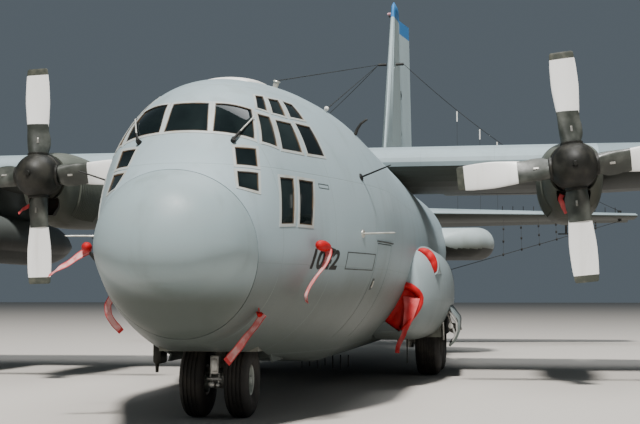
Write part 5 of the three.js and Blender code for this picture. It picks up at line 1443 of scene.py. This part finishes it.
marks = [
    outline_on_skin("plate_frame", (3.03, 3.98), (1.965, 2.20), 1, 0.014),
    outline_on_skin("plate_frame", (2.40, 2.64), (2.995, 3.055), 1, 0.008),
    skin_patch("rain_strip", (3.98, 4.86), (2.372, 2.392), 1, 0.02, 0.03, 2, 18),
    # The handle's well is not cut: a dark patch on the skin stands for it, painted shade in a recess.
    skin_patch("door_handle_well", (4.13, 4.22), (1.70, 1.86), 1, MARK_LIFT, 0.005, 6, 6),
]
bpy.ops.object.text_add()
number = bpy.context.object
number.data.body = "1042"
number.data.size = 0.34
number.data.shear = 0.25
number.data.offset = 0.012
bpy.ops.object.convert(target="MESH")
number = bpy.context.object
modify(number, "TRIANGULATE")
modify(number, "SUBSURF", subdivision_type="SIMPLE", levels=2)
flat = np.zeros(len(number.data.vertices) * 3)
number.data.vertices.foreach_get("co", flat)
flat = flat.reshape(-1, 3)
stations, heights = 2.07 + flat[:, 0] * 1.05, 1.965 + flat[:, 1]
on_skin = hull_points(stations, hull_angles(stations, heights, 1), MARK_LIFT)
number.data.vertices.foreach_set("co", on_skin.ravel())
number.data.update()
only(number)
bpy.ops.object.mode_set(mode="EDIT")
bpy.ops.mesh.select_all(action="SELECT")
bpy.ops.mesh.remove_doubles(threshold=WELD)
bpy.ops.object.mode_set(mode="OBJECT")
if sum(polygon.normal.x for polygon in number.data.polygons) < 0:
    number.data.flip_normals()
number.name = number.data.name = "hull_number"
dress(number, black_paint, "airframe", "paint")
marks = joined(marks, "hull_marks")
dress(marks, stencil_paint, "airframe", "paint")
handle_place, outward = skin_place(4.15, 1.83, 1, 0.012)
handle_low, _ = skin_place(4.16, 1.74, 1, 0.012)
handle = rod("crew_door_handle", [handle_place, handle_low], 0.012)
dress(smooth(handle, 40), pale_metal, "crew_door", "strut")

# Starboard chin mast: a short streamlined blade under the nose, cast in aluminium and painted.
# It is bolted to the belly's skin and carries a small peg below.
chin = joined([
    plate_form("chin", (-1.03, 3.30, 0.68), (-0.90, 3.62, 1.02), 0.02),
    rod("peg", [at(-0.99, 3.40, 0.70), at(-0.99, 3.40, 0.56)], (0.03, 0.022)),
], "chin_mast")
# The mast wears the tanks' darkened paint, painted shade under the nose.
dress(smooth(chin, 40), tank_shade_paint, "airframe", "paint")

# Covers and warning ribbons: red vinyl caps padded with foam, tied over the probes and round the scoops.
# The woven ribbons and flaps are stitched to them, hang in the breeze and warn that a cover is on.
ribbon_finish = Finish("ribbon_cloth", (0.80, 0.42, 0.42), 0.75, {"Sheen Weight": 0.3})
across, along = ribbon_finish.uv()
edge = ribbon_finish.ramp(abs(across - 0.5), 0.36, 0.42)
tail_end = along > 0.93
blotch = ribbon_finish.ramp(ribbon_finish.noise(16, 4), 0.42, 0.62)
cloth = ribbon_finish.mix(blotch * 0.8, (0.68, 0.36, 0.35), (0.58, 0.08, 0.08))
ribbon_finish.set("Base Color", ribbon_finish.mix(
    edge.math("MAXIMUM", edge, tail_end), cloth, (0.50, 0.010, 0.014)
))
ribbon_finish.bump(seams(ribbon_finish, along, 0.012, 0, 0.005) + ribbon_finish.noise(40, 3), 0.3, 0.001)

flap_finish = Finish("flap_cloth", (0.82, 0.20, 0.18), 0.6, {"Sheen Weight": 0.3})
flap_finish.patches((14, 4, (1, 1, 0.35)), 0.42, 0.66, (0.54, 0.012, 0.016), (0.60, 0.10, 0.10))
flap_finish.bump(flap_finish.noise(34, 4), 0.35, 0.002)
RIBBON_ROWS, RIBBON_THICKNESS = 40, 0.0016


def ribbon(name, route, width, across, twist=0.0, wave=0.012, taper=1.0, finish=ribbon_finish):
    """A cloth strip along a smooth route of real places, its width along across, narrowing by taper."""
    knots = np.array([at(*place) for place in route])
    t = np.linspace(0, 1, len(knots))
    fine = np.linspace(0, 1, RIBBON_ROWS + 1)
    line = np.stack([np.interp(fine, t, knots[:, k]) for k in range(3)], axis=1)
    for _ in range(6):
        line[1:-1] = (line[:-2] + line[1:-1] * 2 + line[2:]) / 4
    across = np.array(Vector(across).normalized())
    ahead = np.gradient(line, axis=0)
    ahead /= np.linalg.norm(ahead, axis=1)[:, None]
    side_ways = across - ahead * (ahead @ across)[:, None]
    side_ways /= np.linalg.norm(side_ways, axis=1)[:, None]
    normal = np.cross(ahead, side_ways)

    def surface(u, v):
        row = np.rint(v * RIBBON_ROWS).astype(int)
        turn = twist * v
        reach = (u - 0.5) * width * MODEL_SCALE * (1 + (taper - 1) * v)
        lift = wave * MODEL_SCALE * np.sin(v * 15 + u * 1.2) * v
        a = np.cos(turn) * reach
        b = np.sin(turn) * reach + lift
        return line[row] + side_ways[row] * a[:, None] + normal[row] * b[:, None]
    strip = draped_grid(name, 6, RIBBON_ROWS, surface)
    walled(strip, RIBBON_THICKNESS)
    dress(smooth(strip, 60), finish, "airframe", "paint")


for side, label in SIDES:
    tip, root = at(1.505 * side, 1.97, 2.25), at(1.60 * side, 2.27, 2.225)
    cover = rod(f"pitot_cover_{label}", [
        tip, tip.lerp(root, 0.08), tip.lerp(root, 0.3), tip.lerp(root, 0.7), tip.lerp(root, 0.92), root,
    ], (0.02, 0.055, 0.072, 0.066, 0.045, 0.03), 24)
    modify(cover, "SUBSURF", levels=1)
    dress(smooth(cover, 60), vinyl_finish, "airframe", "paint")
ribbon("ribbon_pitot_port", (
    (1.60, 2.20, 2.19), (1.615, 2.16, 2.13), (1.56, 2.10, 1.98), (1.47, 2.02, 1.84), (1.385, 1.98, 1.72),
    (1.35, 1.98, 1.62), (1.36, 2.02, 1.53),
), 0.105, (1, -0.3, 0.2), 0.9)
ribbon("ribbon_pitot_starboard", (
    (-1.55, 2.15, 2.20), (-1.66, 2.13, 2.14), (-1.80, 2.12, 2.04), (-1.95, 2.12, 1.96), (-2.08, 2.14, 1.88),
), 0.105, (0.2, 0.2, 1), 0.8)
ribbon("ribbon_mouth_starboard", (
    (-1.36, 2.60, 1.62), (-1.42, 2.56, 1.50), (-1.40, 2.54, 1.36), (-1.31, 2.54, 1.24), (-1.22, 2.55, 1.14),
), 0.09, (1, 0.5, 0), 0.6)
knot_place, outward = skin_place(1.40, 1.42, 1, 0.045)
pin = joined([
    rod("pin", [knot_place - outward * 0.03, knot_place], 0.012),
    turned("knot", (
        (0, -0.03), (0.025, -0.022), (0.034, 0), (0.025, 0.022), (0, 0.03),
    ), knot_place, outward, 20),
    rod("wire", [
        knot_place, knot_place + Vector((-0.004, -0.01, 0.05)), knot_place + Vector((-0.016, -0.012, 0.092)),
    ], 0.006),
], "ground_lock_pin")
dress(smooth(pin, 40), vinyl_finish, "airframe", "paint")
ribbon("ribbon_lock_pin", (
    (0.945, 1.40, 1.40), (0.87, 1.39, 1.29), (0.775, 1.39, 1.17), (0.67, 1.41, 1.04), (0.565, 1.45, 0.92),
    (0.465, 1.50, 0.81),
), 0.115, (0.9, -0.3, 0.45), 0.35)
for engine in ENGINES:
    x, z, side = ENGINES[engine]
    hanging = ((x - 0.20, 8.84, z - 0.48), (x - 0.24, 8.80, z - 0.56), (x - 0.19, 8.79, z - 0.68),
               (x - 0.13, 8.79, z - 0.82))
    blown = ((x - 0.22, 8.84, z - 0.55), (x - 0.28, 8.80, z - 0.57), (x - 0.37, 8.79, z - 0.62),
             (x - 0.47, 8.79, z - 0.70))
    route, across = (hanging, (1, 0.2, 0.3)) if side > 0 else (blown, (0, 0.2, 1))
    ribbon(f"ribbon_plug_{engine}", route, 0.085, across, 0.5, finish=flap_finish)
# The scoop's rim: distance from the plane's middle, height, and the rim's radius there
SCOOP_RIM = (
    (1.56, 1.24, 0.03), (1.70, 1.50, 0.045), (1.86, 1.74, 0.055), (1.97, 1.83, 0.065), (2.10, 1.80, 0.065),
    (2.24, 1.69, 0.065), (2.30, 1.59, 0.060), (2.27, 1.42, 0.052), (2.12, 1.20, 0.042), (1.95, 1.02, 0.03),
)
FRONT_REACHES, FRONT_STATIONS = (1.90, 1.98, 2.12, 2.24, 2.38), (8.215, 8.22, 8.25, 8.31, 8.50)
for side, label in SIDES:
    rim = rod(f"scoop_rim_{label}", [
        at(x * side, float(np.interp(x, FRONT_REACHES, FRONT_STATIONS)), z) for x, z, _ in SCOOP_RIM
    ], [radius for _, _, radius in SCOOP_RIM], 14)
    modify(rim, "SUBSURF", levels=1)
    dress(smooth(rim, 60), vinyl_finish, "airframe", "paint")
    ribbon(f"flap_scoop_{label}", (
        (2.13 * side, 8.31, 1.60), (2.125 * side, 8.25, 1.47), (2.10 * side, 8.23, 1.33),
        (2.06 * side, 8.22, 1.18), (2.02 * side, 8.215, 1.03),
    ), 0.30, (1, 0, -0.35 * side), 0.12, 0.008, 0.34, flap_finish)
    ribbon(f"ribbon_scoop_{label}", (
        (2.025 * side, 8.205, 1.04), (2.00 * side, 8.20, 0.95), (1.955 * side, 8.20, 0.86),
        (1.91 * side, 8.20, 0.78), (1.885 * side, 8.20, 0.69), (1.88 * side, 8.20, 0.62),
    ), 0.085, (1, 0, 0.1), 0.4, 0.006, 1.0, flap_finish)

# Sponson inlets: a raised aluminium hood on each upper shoulder, riveted down round its edge.
# A red vinyl plug closes the narrow mouth under it, and thin drain pipes hang below the fairing.
for side, label in SIDES:
    def hood_surface(u, v, side=side):
        turn = 0.80 - 0.58 * u
        rise = (0.135 * (1 - v) ** 0.8 - 0.012 * v) * np.clip(np.sin(u * math.pi), 0, 1) ** 0.4
        return sponson_points(9.10 + 0.62 * v, turn, side, rise)

    hood_skin = draped_grid(f"inlet_hood_{label}", 36, 14, hood_surface)
    if side < 0:
        hood_skin.data.flip_normals()
    modify(hood_skin, "SOLIDIFY", thickness=0.012, offset=0)
    dress(smooth(hood_skin, 50), sponson_paint, "airframe", "paint")

    def inlet_plug_surface(u, v, side=side):
        turn = 0.78 - 0.53 * u
        open_height = np.clip(np.sin(u * math.pi), 0, 1) ** 0.5
        stations = 9.11 - 0.05 * np.sin(v * math.pi) * open_height + 0.006 * np.sin(u * 21)
        return sponson_points(stations, turn, side, (0.150 * v - 0.04) * open_height)

    plug = draped_grid(f"inlet_plug_{label}", 40, 10, inlet_plug_surface)
    modify(plug, "SOLIDIFY", thickness=0.02, offset=0)
    dress(smooth(plug, 60), vinyl_finish, "airframe", "paint")
    drain = joined([
        rod("drain", [at(1.95 * side, 9.4, 0.90), at(1.95 * side, 9.4, 0.38)], 0.013),
        rod("drain", [at(1.70 * side, 10.2, 0.95), at(1.70 * side, 10.2, 0.62)], 0.011),
    ], f"drain_pipes_{label}")
    dress(smooth(drain, 40), black_paint, "airframe", "strut")

# Fin tip and aerial wires: two beacons and a lightning spike on top of the fin, hinge fairings on its sides.
# Long wires run from stubs on the fin to the roof and to the tailplane's tips, on white insulators.
STAY_SAG = 0.45
TAILPLANE_TIP = 7.46


def wire_place(start, end, share, sag):
    """A place along a wire that hangs sag (real metres) below a straight line at its middle."""
    return start.lerp(end, share) - Vector((0, 0, 4 * sag * share * (1 - share) * MODEL_SCALE))


def draw_wire(start, end, radius, sag=0.0, steps=12):
    return rod("wire", [wire_place(start, end, k / steps, sag) for k in range(steps + 1)], radius, 6)


beacon_lens = Finish("beacon_lens", (0.75, 0.42, 0.45), 0.15, {"Transmission Weight": 0.3})
beacon_lens.patches((20, 3), 0.4, 0.6, (0.80, 0.50, 0.54), (0.66, 0.30, 0.34))
top_lamp = turned("fin_beacon", ((0, 0.13), (0.03, 0.125), (0.055, 0.10), (0.06, 0.05), (0.06, -0.02)),
                  at(0, 27.15, 11.43), (0, 0, 1), 24)
side_lamp = turned("fin_lamp", ((0, 0.10), (0.035, 0.09), (0.05, 0.05), (0.05, -0.05)),
                   at(-0.12, 26.80, 11.22), (-1, 0, 0), 20)
lamps = joined([side_lamp, top_lamp], "fin_beacons")
dress(smooth(lamps, 40), beacon_lens, "airframe", "glass")
stub_ends = {side: at(0.42 * side, 25.90, 9.30) for side in (1, -1)}
spikes = [rod("spike", [at(0, 27.15, 11.53), at(0, 27.15, 11.65)], (0.018, 0.006)),
          plate_form("lamp_base", (-0.16, 26.72, 11.12), (-0.08, 26.88, 11.17), 0.004)]
for side in (1, -1):
    spikes.append(rod("stub", [at(0.15 * side, 25.90, 9.30), stub_ends[side]], 0.045, 14))
    spikes.append(turned("tip_fitting", ((0, -0.19), (0.06, -0.17), (0.065, 0.17), (0, 0.19)),
                         at(TAILPLANE_TIP * side, 27.75, 4.30), (0, 0, 1), 16))
    spikes.append(rod("tip_arm", [at(7.90 * side, 27.9, 4.32), at(8.05 * side, 28.0, 4.34)], 0.04))
    for low in (8.30, 6.95):
        spikes.append(turned("rudder_hinge", ((0, 0), (0.05, 0.06), (0.07, 0.21), (0.05, 0.36), (0, 0.42)),
                             at(0.145 * side, 27.44, low), (0, 0, 1), 14))
fin_fittings = joined(spikes, "fin_fittings")
dress(smooth(fin_fittings, 40), black_paint, "airframe", "strut")

roof_end, _ = skin_place(4.41, 4.31, 1, 0.03)
wires = [
    draw_wire(stub_ends[-1], knob_foot + Vector((0, 0, 0.045)), 0.008),
    draw_wire(stub_ends[-1], roof_end, 0.008),
]
insulators = [
    turned("insulator", ((0, 0), (0.03, 0.01), (0.035, 0.06), (0, 0.09)), roof_end, (0, 0.9, 0.4), 12)
]
EDGE_ROOT, EDGE_TIP, TAILPLANE_REACH = 24.75, 27.4, 8.02
TAIL_DROPS = (0.245, 0.35, 0.43)
LOWER_DROPS = (0.30, 0.40, 0.50, 0.60, 0.72, 0.84)
for side in (1, -1):
    tip_end = at(TAILPLANE_TIP * side, 27.75, 4.46)
    wires.append(draw_wire(stub_ends[side], tip_end, 0.009, STAY_SAG, 20))
    for share in TAIL_DROPS:
        top = wire_place(stub_ends[side], tip_end, share, STAY_SAG)
        foot = Vector((top.x, top.y, 4.42 * MODEL_SCALE))
        wires.append(rod("dropper", [top, foot], 0.004, 6))
        ends = [top - Vector((0, 0, drop)) for drop in (0.02, 0.19)]
        insulators.append(rod("insulator", ends, 0.022, 10))
    low_start, low_end = at(2.0 * side, 20.4, 2.30), at(TAILPLANE_TIP * side, 27.70, 4.12)
    wires.append(draw_wire(low_start, low_end, 0.009))
    for share in LOWER_DROPS:
        foot = low_start.lerp(low_end, share)
        head = at(foot.x / MODEL_SCALE, max(foot.y / MODEL_SCALE + MIDDLE_STATION, 25.6), 4.10)
        wires.append(rod("dropper", [foot, head], 0.004, 6))
        for along_drop in (0.0, 0.35, 0.7):
            bead = foot.lerp(head, along_drop)
            wires.append(turned(
                "bead", ((0, -0.05), (0.028, -0.03), (0.028, 0.03), (0, 0.05)), bead, (0, 0, 1), 10
            ))
    for k in range(12):
        x = 3.6 + 0.34 * k
        station = EDGE_ROOT + (EDGE_TIP - EDGE_ROOT) * (x / TAILPLANE_REACH) + 0.8
        wires.append(rod("post", [at(x * side, station, 4.38), at(x * side, station, 4.60)], 0.012, 6))
wires = joined(wires, "aerial_wires")
dress(smooth(wires, 60), black_paint, "airframe", "strut")
insulators = joined(insulators, "aerial_insulators")
dress(smooth(insulators, 40), white_paint, "airframe", "strut")
